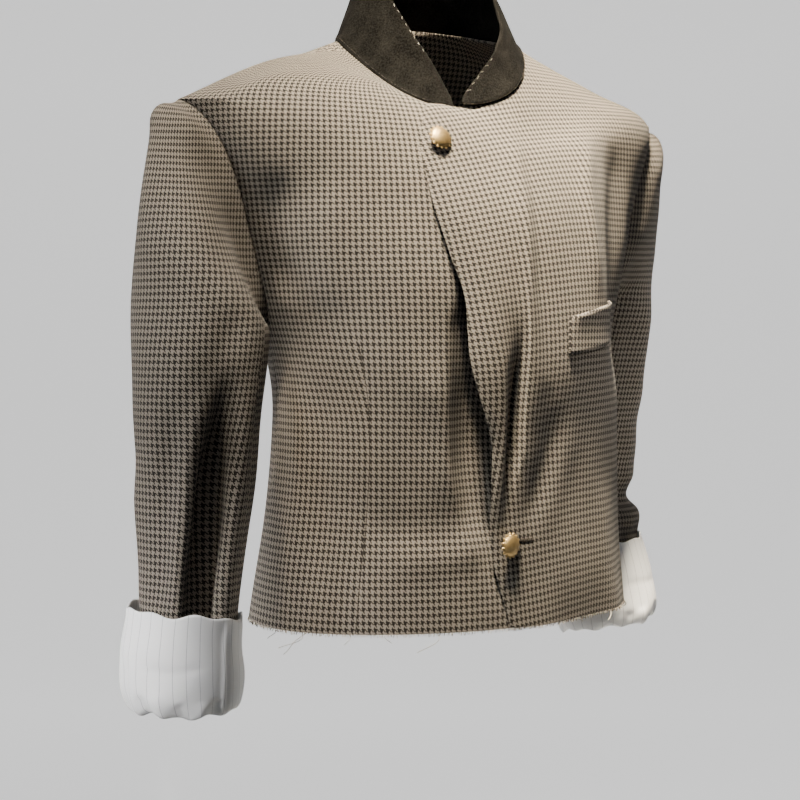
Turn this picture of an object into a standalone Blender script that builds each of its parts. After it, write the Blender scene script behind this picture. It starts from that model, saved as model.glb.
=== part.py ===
"""Cropped single-breasted jacket in its worn form: collar up, lapels buttoned across, sleeves turned back.

The cloth is a set of thin walls cut from one body surface and two sleeve surfaces. Tables are in millimetres
and degrees; the finished pieces are in metres. The front faces -Y, the wearer's left is +X, up is +Z and the
origin lies between the two points where the shoulder seams meet the collar.
"""
from collections import namedtuple

import bmesh
import bpy
import numpy as np

MM = 0.001

# Cloth thicknesses and the clear space left at every seam
CLOTH = 2.0
FELT = 2.4
TURNED_CLOTH = 2.2
SEAM_GAP = 0.3
LAP_GAP = 0.5

# Body sections from the hem to the neckline; square is 2 for an ellipse, turn swings the low point
Ring = namedtuple("Ring", "place half_width shift_x side_y side_z front_y front_z back_y back_z square turn")
BODY = [
    Ring("hem", 165, 0, -11, -458, -123, -458, 101, -458, 2.05, 0),
    Ring("waist", 150, 0, -20, -325, -125, -325, 85, -325, 2.05, 0),
    Ring("underarm", 149, -1.5, -15, -250, -132, -250, 98, -250, 2.1, 0),
    Ring("armhole", 183, -3, 4, -150, -126, -162, 100, -150, 1.9, 0),
    Ring("shoulder_tip", 222, 0, 12, -64, -108, -112, 92, -90, 1.65, 0),
    Ring("shoulder", 146, 0, 8, -31, -92, -86, 84, -38, 1.75, -3),
    Ring("neck", 68, -7, 0, -8, -78, -67, 72, 8, 2.0, 18),
]
TIP_LEVEL = 4
NECK_LEVEL = 6
DIP_POWER = 1.4
CORNER_FROM = 0.86

# Small steps used to measure slopes on a surface, and the search for a place on the front
LEVEL_STEP = 0.001
LEVEL_MARGIN = 0.002
TURN_STEP = 0.05
SEAM_TURN_STEP = 0.5
SEAM_SHARE_STEP = 0.01
FRONT_DEPTH = 110.0
SEARCH_ROUNDS = 12

# Seam places, as degrees round the body from centre front (0) to centre back (180)
SIDE_SEAM = 98
SHOULDER_SEAM = 91
ARMHOLE_LOW = 2.15
ARMHOLE_MIDDLE = (ARMHOLE_LOW + TIP_LEVEL) / 2
Armhole = namedtuple("Armhole", "front_reach back_reach")
ARMHOLES = {-1: Armhole(12, 16), 1: Armhole(20, 14)}

# Rows of each body panel below, beside and above the armhole
ROWS_LOW = 11
ROWS_ARMHOLE = 12
ROWS_SHOULDER = 6
BACK_COLUMNS = 9
BACK_DEPTH = 90.0

# The right front lies underneath and runs this far past the centre; the dart is pressed in as a shallow line
UNDERLAP = 14
RIGHT_COLUMNS = (7, 4, 1, 1, 4)
RIGHT_MIDDLE = -60.0
DART = 61
DART_WIDTH = 3.0
DART_DEPTH = 0.8
DART_TOP = 2.3
DART_FADE = 0.4

# The left front laps over: where its edge, the ridge of its lapel, the trough and the roll-line crest run
# (x, wearer's left positive) and how far each stands off the body surface
Lapel = namedtuple("Lapel", "level edge edge_out ridge ridge_out trough trough_out crest crest_out")
LAPEL = [
    Lapel(0.00, -16, 2.7, -11, 2.8, -4, 2.8, 4, 2.8),
    Lapel(0.45, -34, 2.7, -28, 2.9, -20, 2.8, -10, 2.8),
    Lapel(0.75, -37, 5.0, -30, 6.0, -23, 3.5, -17, 5.0),
    Lapel(1.00, -38, 9.0, -30, 11.0, -19, 3.5, -11, 8.0),
    Lapel(1.35, -46, 12.0, -33, 14.0, -20, 3.5, -11, 9.0),
    Lapel(1.70, -54, 12.0, -38, 13.5, -21, 4.0, -11, 8.0),
    Lapel(2.00, -59, 11.0, -43, 13.0, -23, 4.5, -11, 6.5),
    Lapel(2.40, -61, 8.5, -51, 12.0, -26, 6.0, -10, 5.0),
    Lapel(2.80, -71, 6.0, -62, 10.0, -33, 6.0, -9, 4.0),
    Lapel(3.30, -79, 4.5, -73, 7.0, -38, 4.5, -7, 3.4),
    Lapel(3.80, -80, 3.2, -71, 4.0, -36, 3.4, -5, 3.0),
    Lapel(4.60, -70, 2.8, -60, 3.0, -30, 2.9, 2, 2.8),
    Lapel(6.00, -46, 2.8, -40, 2.8, -20, 2.8, 8, 2.8),
]
LAPEL_COLUMNS = (2, 4, 3, 3, 4, 8)
LAPEL_FLAT = (30, 18)
LAPEL_FADE = (78, 42)
LAP_REST = 0.1
LAPEL_TOP = 5.74
LAPEL_TOP_X = (-22, -2)

# Sleeve sections from the upper arm to the turned edge, centre and half sizes; the arm rings lie level
Arm = namedtuple("Arm", "z x y half_width half_depth rise")
ARMS = {
    -1: [Arm(-225, 225, -25, 48, 56.5, 0), Arm(-283, 236.5, -41, 45, 52, 0),
         Arm(-354, 242, -48, 40, 45.5, 0), Arm(-425, 249, -53, 33.5, 37.5, 0),
         Arm(-491, 252.5, -53, 34, 38, 0)],
    1: [Arm(-225, 200, 46, 45, 56, 0), Arm(-290, 205, 60, 44.5, 51, 0), Arm(-350, 211, 69, 43.5, 47, 0),
        Arm(-384, 214, 72, 37.5, 41, 0), Arm(-402, 217, 66, 40, 42, 2), Arm(-430, 216, 58, 36, 38, 5),
        Arm(-487, 217, 47, 36, 38, 7)],
}
RISE_TURN = {-1: 215, 1: 135}
CAP_STEPS = 4
CAP_START = 95
CAP_END = 0.95
CAP_DROP = (0.45, 0.40)
UNDERARM_SHARE = 0.5
SLEEVE_RADIUS = 40.0
ROWS_PER_SECTION = 2
SLEEVE_STEP = 180 // ROWS_ARMHOLE
FRONT_SLEEVE_SEAM = 60
BACK_SLEEVE_SEAM = 300

# Long folds pressed into the sleeves: start and end, place round the arm, depth and half spread
Fold = namedtuple("Fold", "z_top z_low turn_top turn_low depth spread")
FOLD_RISE = 2.0
FOLD_PAST = 1.3
FOLD_FALL = 4.0
FOLDS = {
    -1: [Fold(-262, -430, 90, 118, 9.0, 17), Fold(-250, -420, 238, 262, 4.0, 22)],
    1: [Fold(-262, -380, 75, 100, 6.0, 18), Fold(-280, -400, 205, 250, 4.0, 22)],
}

# Turned-back cuffs: sections from the lip inside the sleeve, round the turned edge and up to the free edge;
# rise lifts the free edge towards the outer back
Cuff = namedtuple("Cuff", "z x y half_width half_depth rise")
CUFFS = {
    -1: [Cuff(-487, 252.5, -53, 28.6, 32.6, 0), Cuff(-494, 252.5, -53, 28.8, 32.8, 0),
         Cuff(-500, 252.5, -52.5, 31.0, 35.5, 0), Cuff(-502.5, 252.8, -51.5, 35.5, 39.0, -1),
         Cuff(-499, 253, -50, 40.0, 43.0, -1), Cuff(-488, 254, -49, 42.5, 45.8, 0),
         Cuff(-466, 254.5, -49, 42.5, 46.0, 2), Cuff(-449, 253.5, -49, 41.8, 45.2, 4),
         Cuff(-436, 252.5, -49.5, 41.5, 45.0, 7)],
    1: [Cuff(-483, 217, 47, 30.6, 32.6, 7), Cuff(-490, 217, 47, 30.8, 32.8, 7),
        Cuff(-496, 217.5, 46.5, 33.0, 35.5, 7), Cuff(-498.5, 218, 45.5, 37.0, 39.5, 7),
        Cuff(-495, 218.5, 45.5, 41.0, 43.5, 7), Cuff(-484, 218.5, 47, 43.5, 46.0, 7),
        Cuff(-461, 217, 51, 43.0, 45.5, 6), Cuff(-442, 216, 55, 42.5, 45.0, 6),
        Cuff(-428, 215.5, 58, 42.5, 45.0, 6)],
}
CUFF_COLUMNS = 26

# Standing collar: height above the neckline seam, by degrees from its right end round the back
Stand = namedtuple("Stand", "turn height")
COLLAR = [
    Stand(-21, 4), Stand(-25, 16), Stand(-31, 29), Stand(-41, 41), Stand(-60, 54), Stand(-90, 60),
    Stand(-180, 62), Stand(-270, 61), Stand(-315, 60), Stand(-338, 54), Stand(-357, 30), Stand(-367, 17),
    Stand(-375, 4),
]
COLLAR_COLUMNS = 38
COLLAR_ROWS = 4
COLLAR_LAP = 0.11
COLLAR_GAP = 1.0
COLLAR_LEAN_RIGHT = 20
COLLAR_LEAN_LEFT = 38
COLLAR_LEFT_FROM = 180.0
COLLAR_LEFT_SPAN = 90.0

# Breast pocket welt: a strip laid on the left front, rising towards the armhole
WELT_TURN = (16, 47)
WELT_LOW = (1.98, 2.11)
WELT_HIGH = (2.25, 2.43)
WELT_COLUMNS = 10
WELT_ROWS = 3

# Metal buttons: a dome inside a beaded rim on a short shank
Button = namedtuple("Button", "name level turn")
BUTTONS = [Button("button_top", 4.16, -31.5), Button("button_bottom", 0.45, -11.3)]
BUTTON_BEADS = 12
BEAD_DEPTH = 0.55
BEAD_STEPS = 3
Turning = namedtuple("Turning", "radius height beaded")
BUTTON_PROFILE = [
    Turning(3.0, 0.0, 0), Turning(3.0, 2.2, 0), Turning(8.2, 2.6, 0), Turning(9.7, 3.0, 1),
    Turning(10.0, 3.8, 1), Turning(9.5, 4.6, 1), Turning(8.2, 4.5, 0), Turning(7.6, 5.0, 0),
    Turning(5.4, 6.4, 0), Turning(2.8, 7.2, 0),
]
BUTTON_CROWN = 7.5

COLOURS = {
    "cloth": (0.30, 0.24, 0.18, 0.85, 0.0),
    "felt": (0.035, 0.028, 0.022, 0.95, 0.0),
    "lining": (0.80, 0.80, 0.81, 0.60, 0.0),
    "gold_metal": (0.80, 0.58, 0.26, 0.30, 1.0),
}


def smooth(t):
    t = np.clip(t, 0.0, 1.0)
    return t * t * (3.0 - 2.0 * t)


def along(stack, row, corner=None, sharp=None):
    """Smooth path through stacked points; at the corner row it may turn sharply."""
    step = np.diff(stack, axis=0)
    before = np.concatenate([step[:1], step])
    after = np.concatenate([step, step[-1:]])
    slope_in = (before + after) / 2.0
    slope_out = slope_in.copy()
    if corner is not None:
        weight = sharp[..., None]
        slope_in[corner] += (before[corner] - slope_in[corner]) * weight
        slope_out[corner] += (after[corner] - slope_out[corner]) * weight
    k = np.clip(np.floor(row).astype(int), 0, len(stack) - 2)
    t = (row - k)[..., None]
    i = np.arange(len(row))
    return (stack[k, i] * (2 * t**3 - 3 * t**2 + 1) + slope_out[k, i] * (t**3 - 2 * t**2 + t)
            + stack[k + 1, i] * (3 * t**2 - 2 * t**3) + slope_in[k + 1, i] * (t**3 - t**2))


def section(ring, turn):
    """Points of one body section at angles from centre front."""
    s, c = np.sin(turn), np.cos(turn)
    depth = np.where(c > 0, ring.side_y - ring.front_y, ring.back_y - ring.side_y)
    n = ring.square
    radius = ((np.abs(c) / depth) ** n + (np.abs(s) / ring.half_width) ** n) ** (-1.0 / n)
    dip = np.cos(turn + np.radians(ring.turn))
    drop = np.where(dip > 0, ring.front_z - ring.side_z, ring.back_z - ring.side_z)
    z = ring.side_z + drop * np.abs(dip) ** DIP_POWER
    return np.stack([ring.shift_x + radius * s, ring.side_y - radius * c, z], -1)


def body(level, turn):
    """Outer face of the body cloth; turn in degrees."""
    level, turn = np.broadcast_arrays(np.asarray(level, float), np.radians(np.asarray(turn, float)))
    shape = level.shape
    level, turn = level.ravel(), turn.ravel()
    stack = np.stack([section(ring, turn) for ring in BODY])
    sharp = smooth((np.abs(np.sin(turn)) - CORNER_FROM) / (1.0 - CORNER_FROM))
    return along(stack, level, TIP_LEVEL, sharp).reshape(shape + (3,))


def face_normal(surface, level, turn):
    """Unit normal of a surface, pointing away from the wearer."""
    across = surface(level, turn + TURN_STEP) - surface(level, turn - TURN_STEP)
    up = surface(level + LEVEL_STEP, turn) - surface(level - LEVEL_STEP, turn)
    n = np.cross(across, up)
    return n / np.linalg.norm(n, axis=-1, keepdims=True)


def body_normal(level, turn):
    return face_normal(body, np.clip(level, LEVEL_MARGIN, NECK_LEVEL - LEVEL_MARGIN), turn)


def turn_at(level, x):
    """Degrees round the body at which the front surface reaches x."""
    turn = np.degrees(np.arctan2(x, FRONT_DEPTH))
    for _ in range(SEARCH_ROUNDS):
        here = body(level, turn)
        turn = turn + np.degrees((x - here[..., 0]) / np.hypot(here[..., 0], here[..., 1]))
    return turn


def armhole_centre(level):
    t = (level - ARMHOLE_LOW) / (TIP_LEVEL - ARMHOLE_LOW)
    return SIDE_SEAM + (SHOULDER_SEAM - SIDE_SEAM) * np.clip(t, 0.0, 1.0)


def armhole_level(turn):
    """Level of an armhole point; turn runs 0 underarm, 90 front, 180 shoulder, 270 back."""
    return ARMHOLE_MIDDLE - (TIP_LEVEL - ARMHOLE_LOW) / 2 * np.cos(np.radians(turn))


def armhole_turn(side, turn):
    """Degrees round the body of an armhole point."""
    wave = np.sin(np.radians(turn))
    reach = np.where(wave > 0, -ARMHOLES[side].front_reach, ARMHOLES[side].back_reach)
    return armhole_centre(armhole_level(turn)) + reach * np.abs(wave)


def seam_point(side, turn):
    """Armhole seam on the body surface, mirrored to the wearer's left."""
    return body(armhole_level(turn), side * armhole_turn(side, turn)) * np.array([side, 1.0, 1.0])


def panel_rows():
    low = np.linspace(0.0, ARMHOLE_LOW, ROWS_LOW + 1)[:-1]
    arm = armhole_level(np.linspace(0.0, 180.0, ROWS_ARMHOLE + 1))[:-1]
    top = np.linspace(TIP_LEVEL, NECK_LEVEL, ROWS_SHOULDER + 1)
    return np.concatenate([low, arm, top])


def panel_side(level, side, towards):
    """Outer border of a panel, in degrees: towards is -1 for a front and +1 for a back."""
    reach = ARMHOLES[side].front_reach if towards < 0 else ARMHOLES[side].back_reach
    c = np.clip((ARMHOLE_MIDDLE - level) / ((TIP_LEVEL - ARMHOLE_LOW) / 2), -1.0, 1.0)
    trim = np.degrees(SEAM_GAP / 2 / np.interp(level, range(len(BODY)), [ring.half_width for ring in BODY]))
    return armhole_centre(level) + towards * (reach * np.sqrt(1.0 - c * c) + trim)


def spread(knots, counts):
    """Columns spaced evenly between neighbouring knots, each knot a value per row."""
    columns = [knots[0]]
    for left, right, count in zip(knots[:-1], knots[1:], counts):
        columns += [left + (right - left) * (i + 1) / count for i in range(count)]
    return np.stack(columns, -1)


def lapel_column(name, level):
    """One column of the lapel table at any level, blended without overshoot."""
    levels = [row.level for row in LAPEL]
    values = [getattr(row, name) for row in LAPEL]
    return np.interp(level, levels, values)


def lapel_places(level):
    """Where the edge, ridge, trough, crest, flat and faded-out lines of the left front run (x)."""
    places = [lapel_column(name, level) for name in ("edge", "ridge", "trough", "crest")]
    for near, neck in (LAPEL_FLAT, LAPEL_FADE):
        places.append(places[3] + np.interp(level, [TIP_LEVEL, NECK_LEVEL], [near, neck]))
    return places


def left_out(level, x):
    """How far the left front stands off the body surface."""
    crest = lapel_column("crest", level)
    places = lapel_places(level)
    heights = [lapel_column(name + "_out", level) for name in ("edge", "ridge", "trough", "crest")]
    heights += [np.full_like(crest, CLOTH + LAP_GAP + LAP_REST), np.zeros_like(crest)]
    out = heights[0]
    for i in range(len(places) - 1):
        t = (x - places[i]) / (places[i + 1] - places[i])
        out = np.where(t > 0, heights[i] + (heights[i + 1] - heights[i]) * smooth(t), out)
    return out


def wall(name, outer, inner, slot, wrap=False):
    """Closed thin solid between two grids of points (millimetres)."""
    rows, columns = outer.shape[:2]
    bm = bmesh.new()
    layers = [[[bm.verts.new(p * MM) for p in row] for row in grid] for grid in (outer, inner)]
    last = columns if wrap else columns - 1
    for r in range(rows - 1):
        for c in range(last):
            d = (c + 1) % columns
            for layer, flip in zip(layers, (False, True)):
                quad = [layer[r][c], layer[r][d], layer[r + 1][d], layer[r + 1][c]]
                bm.faces.new(quad[::-1] if flip else quad)
    out, inn = layers
    for c in range(last):
        d = (c + 1) % columns
        bm.faces.new([inn[0][c], inn[0][d], out[0][d], out[0][c]])
        bm.faces.new([out[-1][c], out[-1][d], inn[-1][d], inn[-1][c]])
    if not wrap:
        for r in range(rows - 1):
            bm.faces.new([out[r][0], out[r + 1][0], inn[r + 1][0], inn[r][0]])
            bm.faces.new([inn[r][-1], inn[r + 1][-1], out[r + 1][-1], out[r][-1]])
    bmesh.ops.triangulate(bm, faces=bm.faces[:])
    bmesh.ops.recalc_face_normals(bm, faces=bm.faces[:])
    return finish(name, bm, slot)


def finish(name, bm, slot):
    mesh = bpy.data.meshes.new(name)
    bm.to_mesh(mesh)
    bm.free()
    mesh.materials.append(material(slot))
    obj = bpy.data.objects.new(name, mesh)
    bpy.context.scene.collection.objects.link(obj)
    return obj


def material(slot):
    mat = bpy.data.materials.get(slot)
    if mat is None:
        red, green, blue, roughness, metallic = COLOURS[slot]
        mat = bpy.data.materials.new(slot)
        mat.use_nodes = True
        shader = mat.node_tree.nodes["Principled BSDF"]
        shader.inputs["Base Color"].default_value = (red, green, blue, 1.0)
        shader.inputs["Roughness"].default_value = roughness
        shader.inputs["Metallic"].default_value = metallic
    return mat


def body_wall(name, level, turn, out, thickness, slot):
    """Wall laid on the body surface, its outer face moved out by out."""
    base, n = body(level, turn), body_normal(level, turn)
    outer = base + out[..., None] * n
    return wall(name, outer, outer - thickness * n, slot)


def make_right_front():
    rows = panel_rows()
    edge = turn_at(rows, np.full_like(rows, UNDERLAP))
    dart = np.full_like(rows, -DART)
    width = np.full_like(rows, DART_WIDTH)
    middle = turn_at(rows, np.full_like(rows, RIGHT_MIDDLE))
    side = -panel_side(rows, -1, -1)
    knots = [side, dart - width, dart, dart + width, middle, edge]
    turn = spread(knots, RIGHT_COLUMNS[::-1])
    level = np.broadcast_to(rows[:, None], turn.shape)
    out = np.zeros(turn.shape)
    column = RIGHT_COLUMNS[-1] + RIGHT_COLUMNS[-2]
    out[:, column] = -DART_DEPTH * smooth((DART_TOP - rows) / DART_FADE)
    body_wall("front_right", level, turn, out, CLOTH, "cloth")


def make_left_front():
    rows = panel_rows()
    knots = [turn_at(rows, x) for x in lapel_places(rows)] + [panel_side(rows, 1, -1)]
    turn = spread(knots, LAPEL_COLUMNS)
    level = np.broadcast_to(rows[:, None], turn.shape).copy()
    x = body(level, turn)[..., 0]
    inside = smooth((x - LAPEL_TOP_X[0]) / (LAPEL_TOP_X[1] - LAPEL_TOP_X[0]))
    top = LAPEL_TOP + (NECK_LEVEL - LAPEL_TOP) * inside
    share = (top - TIP_LEVEL) / (NECK_LEVEL - TIP_LEVEL)
    level = np.where(level > TIP_LEVEL, TIP_LEVEL + (level - TIP_LEVEL) * share, level)
    out = left_out(level, body(level, turn)[..., 0])
    body_wall("front_left", level, turn, out, CLOTH, "cloth")


def make_back(side, name):
    rows = panel_rows()
    border = panel_side(rows, side, 1)
    trim = np.degrees(SEAM_GAP / 2 / BACK_DEPTH)
    centre = np.full_like(rows, 180.0 - trim)
    turn = spread([border, centre], (BACK_COLUMNS,))
    if side < 0:
        turn = -turn[:, ::-1]
    level = np.broadcast_to(rows[:, None], turn.shape)
    body_wall(name, level, turn, np.zeros(turn.shape), CLOTH, "cloth")


def sleeve_stack(side, turn):
    """Sleeve sections from the armhole seam to the turned edge; turn as on the armhole."""
    a = np.radians(turn)
    mirror = np.array([side, 1.0, 1.0])
    level, place = armhole_level(turn), armhole_turn(side, turn)
    seam = seam_point(side, turn)
    inner_level = level + (ARMHOLE_MIDDLE - level) * SEAM_SHARE_STEP
    inner_place = place + (SIDE_SEAM - place) * SEAM_SHARE_STEP
    inside = body(inner_level, side * inner_place) * mirror
    tangent = seam_point(side, turn + SEAM_TURN_STEP) - seam_point(side, turn - SEAM_TURN_STEP)
    tangent /= np.linalg.norm(tangent, axis=-1, keepdims=True)
    across = inside - seam
    across -= tangent * np.sum(across * tangent, -1, keepdims=True)
    seam = seam + SEAM_GAP * across / np.linalg.norm(across, axis=-1, keepdims=True)
    heading = np.stack([np.ones_like(a), np.zeros_like(a), -CAP_DROP[0] - CAP_DROP[1] * np.cos(a)], -1)
    heading /= np.linalg.norm(heading, axis=-1, keepdims=True)
    rings = []
    for arm in ARMS[side]:
        radial = np.stack([-arm.half_width * np.cos(a), -arm.half_depth * np.sin(a), np.zeros_like(a)], -1)
        shrink = np.zeros_like(a)
        for fold in FOLDS[side]:
            t = (arm.z - fold.z_top) / (fold.z_low - fold.z_top)
            place = fold.turn_top + (fold.turn_low - fold.turn_top) * np.clip(t, 0.0, 1.0)
            strength = smooth(t * FOLD_RISE) * smooth((FOLD_PAST - t) * FOLD_FALL)
            shrink += fold.depth * strength * np.exp(-(((turn - place) / fold.spread) ** 2))
        length = np.linalg.norm(radial, axis=-1, keepdims=True)
        ring = np.array([arm.x, arm.y, arm.z]) + radial * (1.0 - shrink[..., None] / length)
        ring[..., 2] += arm.rise * np.cos(a - np.radians(RISE_TURN[side]))
        rings.append(ring)
    first = rings[0]
    span = np.linalg.norm(first - seam, axis=-1, keepdims=True)
    down = np.array([0.0, 0.0, -1.0]) * span * CAP_END
    out = heading * np.minimum(CAP_START, span)
    cap = []
    for i in range(CAP_STEPS):
        t = i / CAP_STEPS
        cap.append(seam * (2 * t**3 - 3 * t**2 + 1) + out * (t**3 - 2 * t**2 + t)
                   + first * (3 * t**2 - 2 * t**3) + down * (t**3 - t**2))
    return np.stack(cap + rings)


def seam_normal(side, turn, own):
    """Normal of the sleeve wall at the armhole: square to the body cloth except under the arm."""
    n = body_normal(armhole_level(turn), side * armhole_turn(side, turn))
    share = smooth(np.sum(n * own, -1) / UNDERARM_SHARE)[:, None]
    n = n * share + own * (1.0 - share)
    return n / np.linalg.norm(n, axis=-1, keepdims=True)


def make_sleeve(side, suffix):
    count = CAP_STEPS + len(ARMS[side])

    def surface(row, turn):
        row, turn = np.broadcast_arrays(row, turn)
        points = along(sleeve_stack(side, turn.ravel()), row.ravel()).reshape(row.shape + (3,))
        return points * np.array([side, 1.0, 1.0])

    rows = np.linspace(0.0, count - 1, (count - 1) * ROWS_PER_SECTION + 1)
    trim = np.degrees(SEAM_GAP / 2 / SLEEVE_RADIUS)
    pieces = [("sleeve_top_", FRONT_SLEEVE_SEAM, BACK_SLEEVE_SEAM),
              ("sleeve_under_", BACK_SLEEVE_SEAM, FRONT_SLEEVE_SEAM + 360)]
    for label, start, end in pieces:
        turn = np.clip(np.arange(start, end + 1, SLEEVE_STEP), start + trim, end - trim)
        row, turn = np.meshgrid(rows, turn, indexing="ij")
        outer = surface(row, turn)
        n = face_normal(surface, np.clip(row, LEVEL_MARGIN, count - 1 - LEVEL_MARGIN), turn) * -side
        n[0] = seam_normal(side, turn[0], n[0])
        wall(label + suffix, outer, outer - CLOTH * n, "cloth")


def make_cuff(side, suffix):
    table = CUFFS[side]

    def surface(row, turn):
        row, turn = np.broadcast_arrays(row, turn)
        a = np.radians(turn.ravel())
        rings = []
        for cuff in table:
            rise = cuff.rise * np.cos(a - np.radians(RISE_TURN[side]))
            rings.append(np.stack([side * (cuff.x - cuff.half_width * np.cos(a)),
                                   cuff.y - cuff.half_depth * np.sin(a), cuff.z + rise], -1))
        return along(np.stack(rings), row.ravel()).reshape(row.shape + (3,))

    rows = np.arange(len(table), dtype=float)
    turns = np.arange(CUFF_COLUMNS) * 360.0 / CUFF_COLUMNS
    row, turn = np.meshgrid(rows, turns, indexing="ij")
    outer = surface(row, turn)
    n = face_normal(surface, np.clip(row, LEVEL_MARGIN, len(table) - 1 - LEVEL_MARGIN), turn) * side
    wall("cuff_" + suffix, outer, outer - TURNED_CLOTH * n, "lining", wrap=True)


def make_collar():
    turns = np.linspace(COLLAR[0].turn, COLLAR[-1].turn, COLLAR_COLUMNS + 1)
    height = np.interp(-turns, [-s.turn for s in COLLAR], [s.height for s in COLLAR])
    left = smooth((-turns - COLLAR_LEFT_FROM) / COLLAR_LEFT_SPAN)
    lean = np.radians(COLLAR_LEAN_RIGHT + (COLLAR_LEAN_LEFT - COLLAR_LEAN_RIGHT) * left)[:, None]
    a = np.radians(turns)
    inward = np.stack([-np.sin(a), np.cos(a), np.zeros_like(a)], -1)
    upright = np.array([0.0, 0.0, 1.0])
    rise = upright * np.cos(lean) + inward * np.sin(lean)
    away = upright * np.sin(lean) - inward * np.cos(lean)
    outer, inner = [], []
    for level in (NECK_LEVEL - COLLAR_LAP, NECK_LEVEL):
        levels = np.full_like(turns, level)
        base, n = body(levels, turns), body_normal(levels, turns)
        out = COLLAR_GAP + np.where(left > 0, left_out(levels, base[:, 0]), 0.0)
        inner.append(base + out[:, None] * n)
        outer.append(inner[-1] + FELT * n)
    for i in range(COLLAR_ROWS):
        outer.append(outer[1] + rise * (height * (i + 1) / COLLAR_ROWS)[:, None])
        inner.append(outer[-1] - FELT * away)
    wall("collar", np.stack(outer)[:, ::-1], np.stack(inner)[:, ::-1], "felt")


def make_welt():
    share = np.linspace(0.0, 1.0, WELT_COLUMNS + 1)
    turn = WELT_TURN[0] + (WELT_TURN[1] - WELT_TURN[0]) * share
    low = WELT_LOW[0] + (WELT_LOW[1] - WELT_LOW[0]) * share
    high = WELT_HIGH[0] + (WELT_HIGH[1] - WELT_HIGH[0]) * share
    level = spread([low, high], (WELT_ROWS,)).T
    turn = np.broadcast_to(turn, level.shape)
    out = left_out(level, body(level, turn)[..., 0]) + LAP_GAP + CLOTH
    body_wall("breast_welt", level, turn, out, CLOTH, "cloth")


def make_button(button):
    level, turn = np.array([button.level]), np.array([button.turn])
    base, n = body(level, turn)[0], body_normal(level, turn)[0]
    start = base + n * (left_out(level, base[None, 0])[0] + LAP_GAP)
    up = np.array([0.0, 0.0, 1.0]) - n * n[2]
    up /= np.linalg.norm(up)
    side = np.cross(up, n)
    steps = BUTTON_BEADS * BEAD_STEPS
    a = np.arange(steps) * 2.0 * np.pi / steps
    bm = bmesh.new()
    rings = []
    for turning in BUTTON_PROFILE:
        radius = turning.radius - turning.beaded * BEAD_DEPTH * (0.5 - 0.5 * np.cos(BUTTON_BEADS * a))
        circle = np.cos(a)[:, None] * side + np.sin(a)[:, None] * up
        points = start + turning.height * n + radius[:, None] * circle
        rings.append([bm.verts.new(p * MM) for p in points])
    for low, high in zip(rings[:-1], rings[1:]):
        for i in range(steps):
            j = (i + 1) % steps
            bm.faces.new([low[i], low[j], high[j], high[i]])
    foot = bm.verts.new(start * MM)
    crown = bm.verts.new((start + BUTTON_CROWN * n) * MM)
    for i in range(steps):
        j = (i + 1) % steps
        bm.faces.new([foot, rings[0][j], rings[0][i]])
        bm.faces.new([crown, rings[-1][i], rings[-1][j]])
    bmesh.ops.triangulate(bm, faces=bm.faces[:])
    bmesh.ops.recalc_face_normals(bm, faces=bm.faces[:])
    finish(button.name, bm, "gold_metal")


for old in list(bpy.data.objects):
    bpy.data.objects.remove(old, do_unlink=True)
make_right_front()
make_left_front()
make_back(1, "back_left")
make_back(-1, "back_right")
make_sleeve(1, "left")
make_sleeve(-1, "right")
make_cuff(1, "left")
make_cuff(-1, "right")
make_collar()
make_welt()
for entry in BUTTONS:
    make_button(entry)
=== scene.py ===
from collections import namedtuple

import bpy
import numpy as np
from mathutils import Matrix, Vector


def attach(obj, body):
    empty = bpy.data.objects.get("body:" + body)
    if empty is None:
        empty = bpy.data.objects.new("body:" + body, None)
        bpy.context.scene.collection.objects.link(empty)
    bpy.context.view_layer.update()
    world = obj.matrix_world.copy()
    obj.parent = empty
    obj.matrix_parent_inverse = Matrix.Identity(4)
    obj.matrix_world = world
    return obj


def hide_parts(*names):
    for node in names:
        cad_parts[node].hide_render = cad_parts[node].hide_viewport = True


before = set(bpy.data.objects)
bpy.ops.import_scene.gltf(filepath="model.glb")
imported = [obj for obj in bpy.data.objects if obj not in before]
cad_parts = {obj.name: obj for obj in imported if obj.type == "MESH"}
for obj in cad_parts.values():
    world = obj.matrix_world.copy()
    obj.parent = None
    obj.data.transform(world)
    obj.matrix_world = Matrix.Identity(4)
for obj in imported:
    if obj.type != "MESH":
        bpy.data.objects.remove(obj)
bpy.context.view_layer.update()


# The back: two panels of brown and cream houndstooth wool, joined by a centre-back seam and shaped to the
# waist. Seam allowances are pressed open, so each seam shows as a shallow groove. All the body panels lie on
# one worn form, given as sections from the hem to the neckline (millimetres and degrees, 0 at centre front).
MM = 0.001
CLOTH = 2.0
SEAM_GAP = 0.3
Ring = namedtuple(
    "Ring", "place half_width shift_x side_y side_z front_y front_z back_y back_z square turn")
BODY = [
    Ring("hem", 165, 0, -11, -458, -123, -458, 101, -458, 2.05, 0),
    Ring("waist", 150, 0, -20, -325, -125, -325, 85, -325, 2.05, 0),
    Ring("underarm", 149, -1.5, -15, -250, -132, -250, 98, -250, 2.1, 0),
    Ring("armhole", 183, -3, 4, -150, -126, -162, 100, -150, 1.9, 0),
    Ring("shoulder_tip", 222, 0, 12, -64, -108, -112, 92, -90, 1.65, 0),
    Ring("shoulder", 146, 0, 8, -31, -92, -86, 84, -38, 1.75, -3),
    Ring("neck", 68, -7, 0, -8, -78, -67, 72, 8, 2.0, 18),
]
TIP_LEVEL = 4
NECK_LEVEL = 6
DIP_POWER = 1.4
CORNER_FROM = 0.97
SIDE_SEAM = 98
SHOULDER_SEAM = 91
ARMHOLE_LOW = 2.15
ARMHOLE_MIDDLE = (ARMHOLE_LOW + TIP_LEVEL) / 2
ARMHOLES = {-1: (12, 16), 1: (20, 14)}
ROWS = (46, 44, 24)
BACK_COLUMNS = 46
BACK_RADIUS = 90.0
NECK_FADE = 0.5
BORDER_FADE = 6.0
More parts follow.
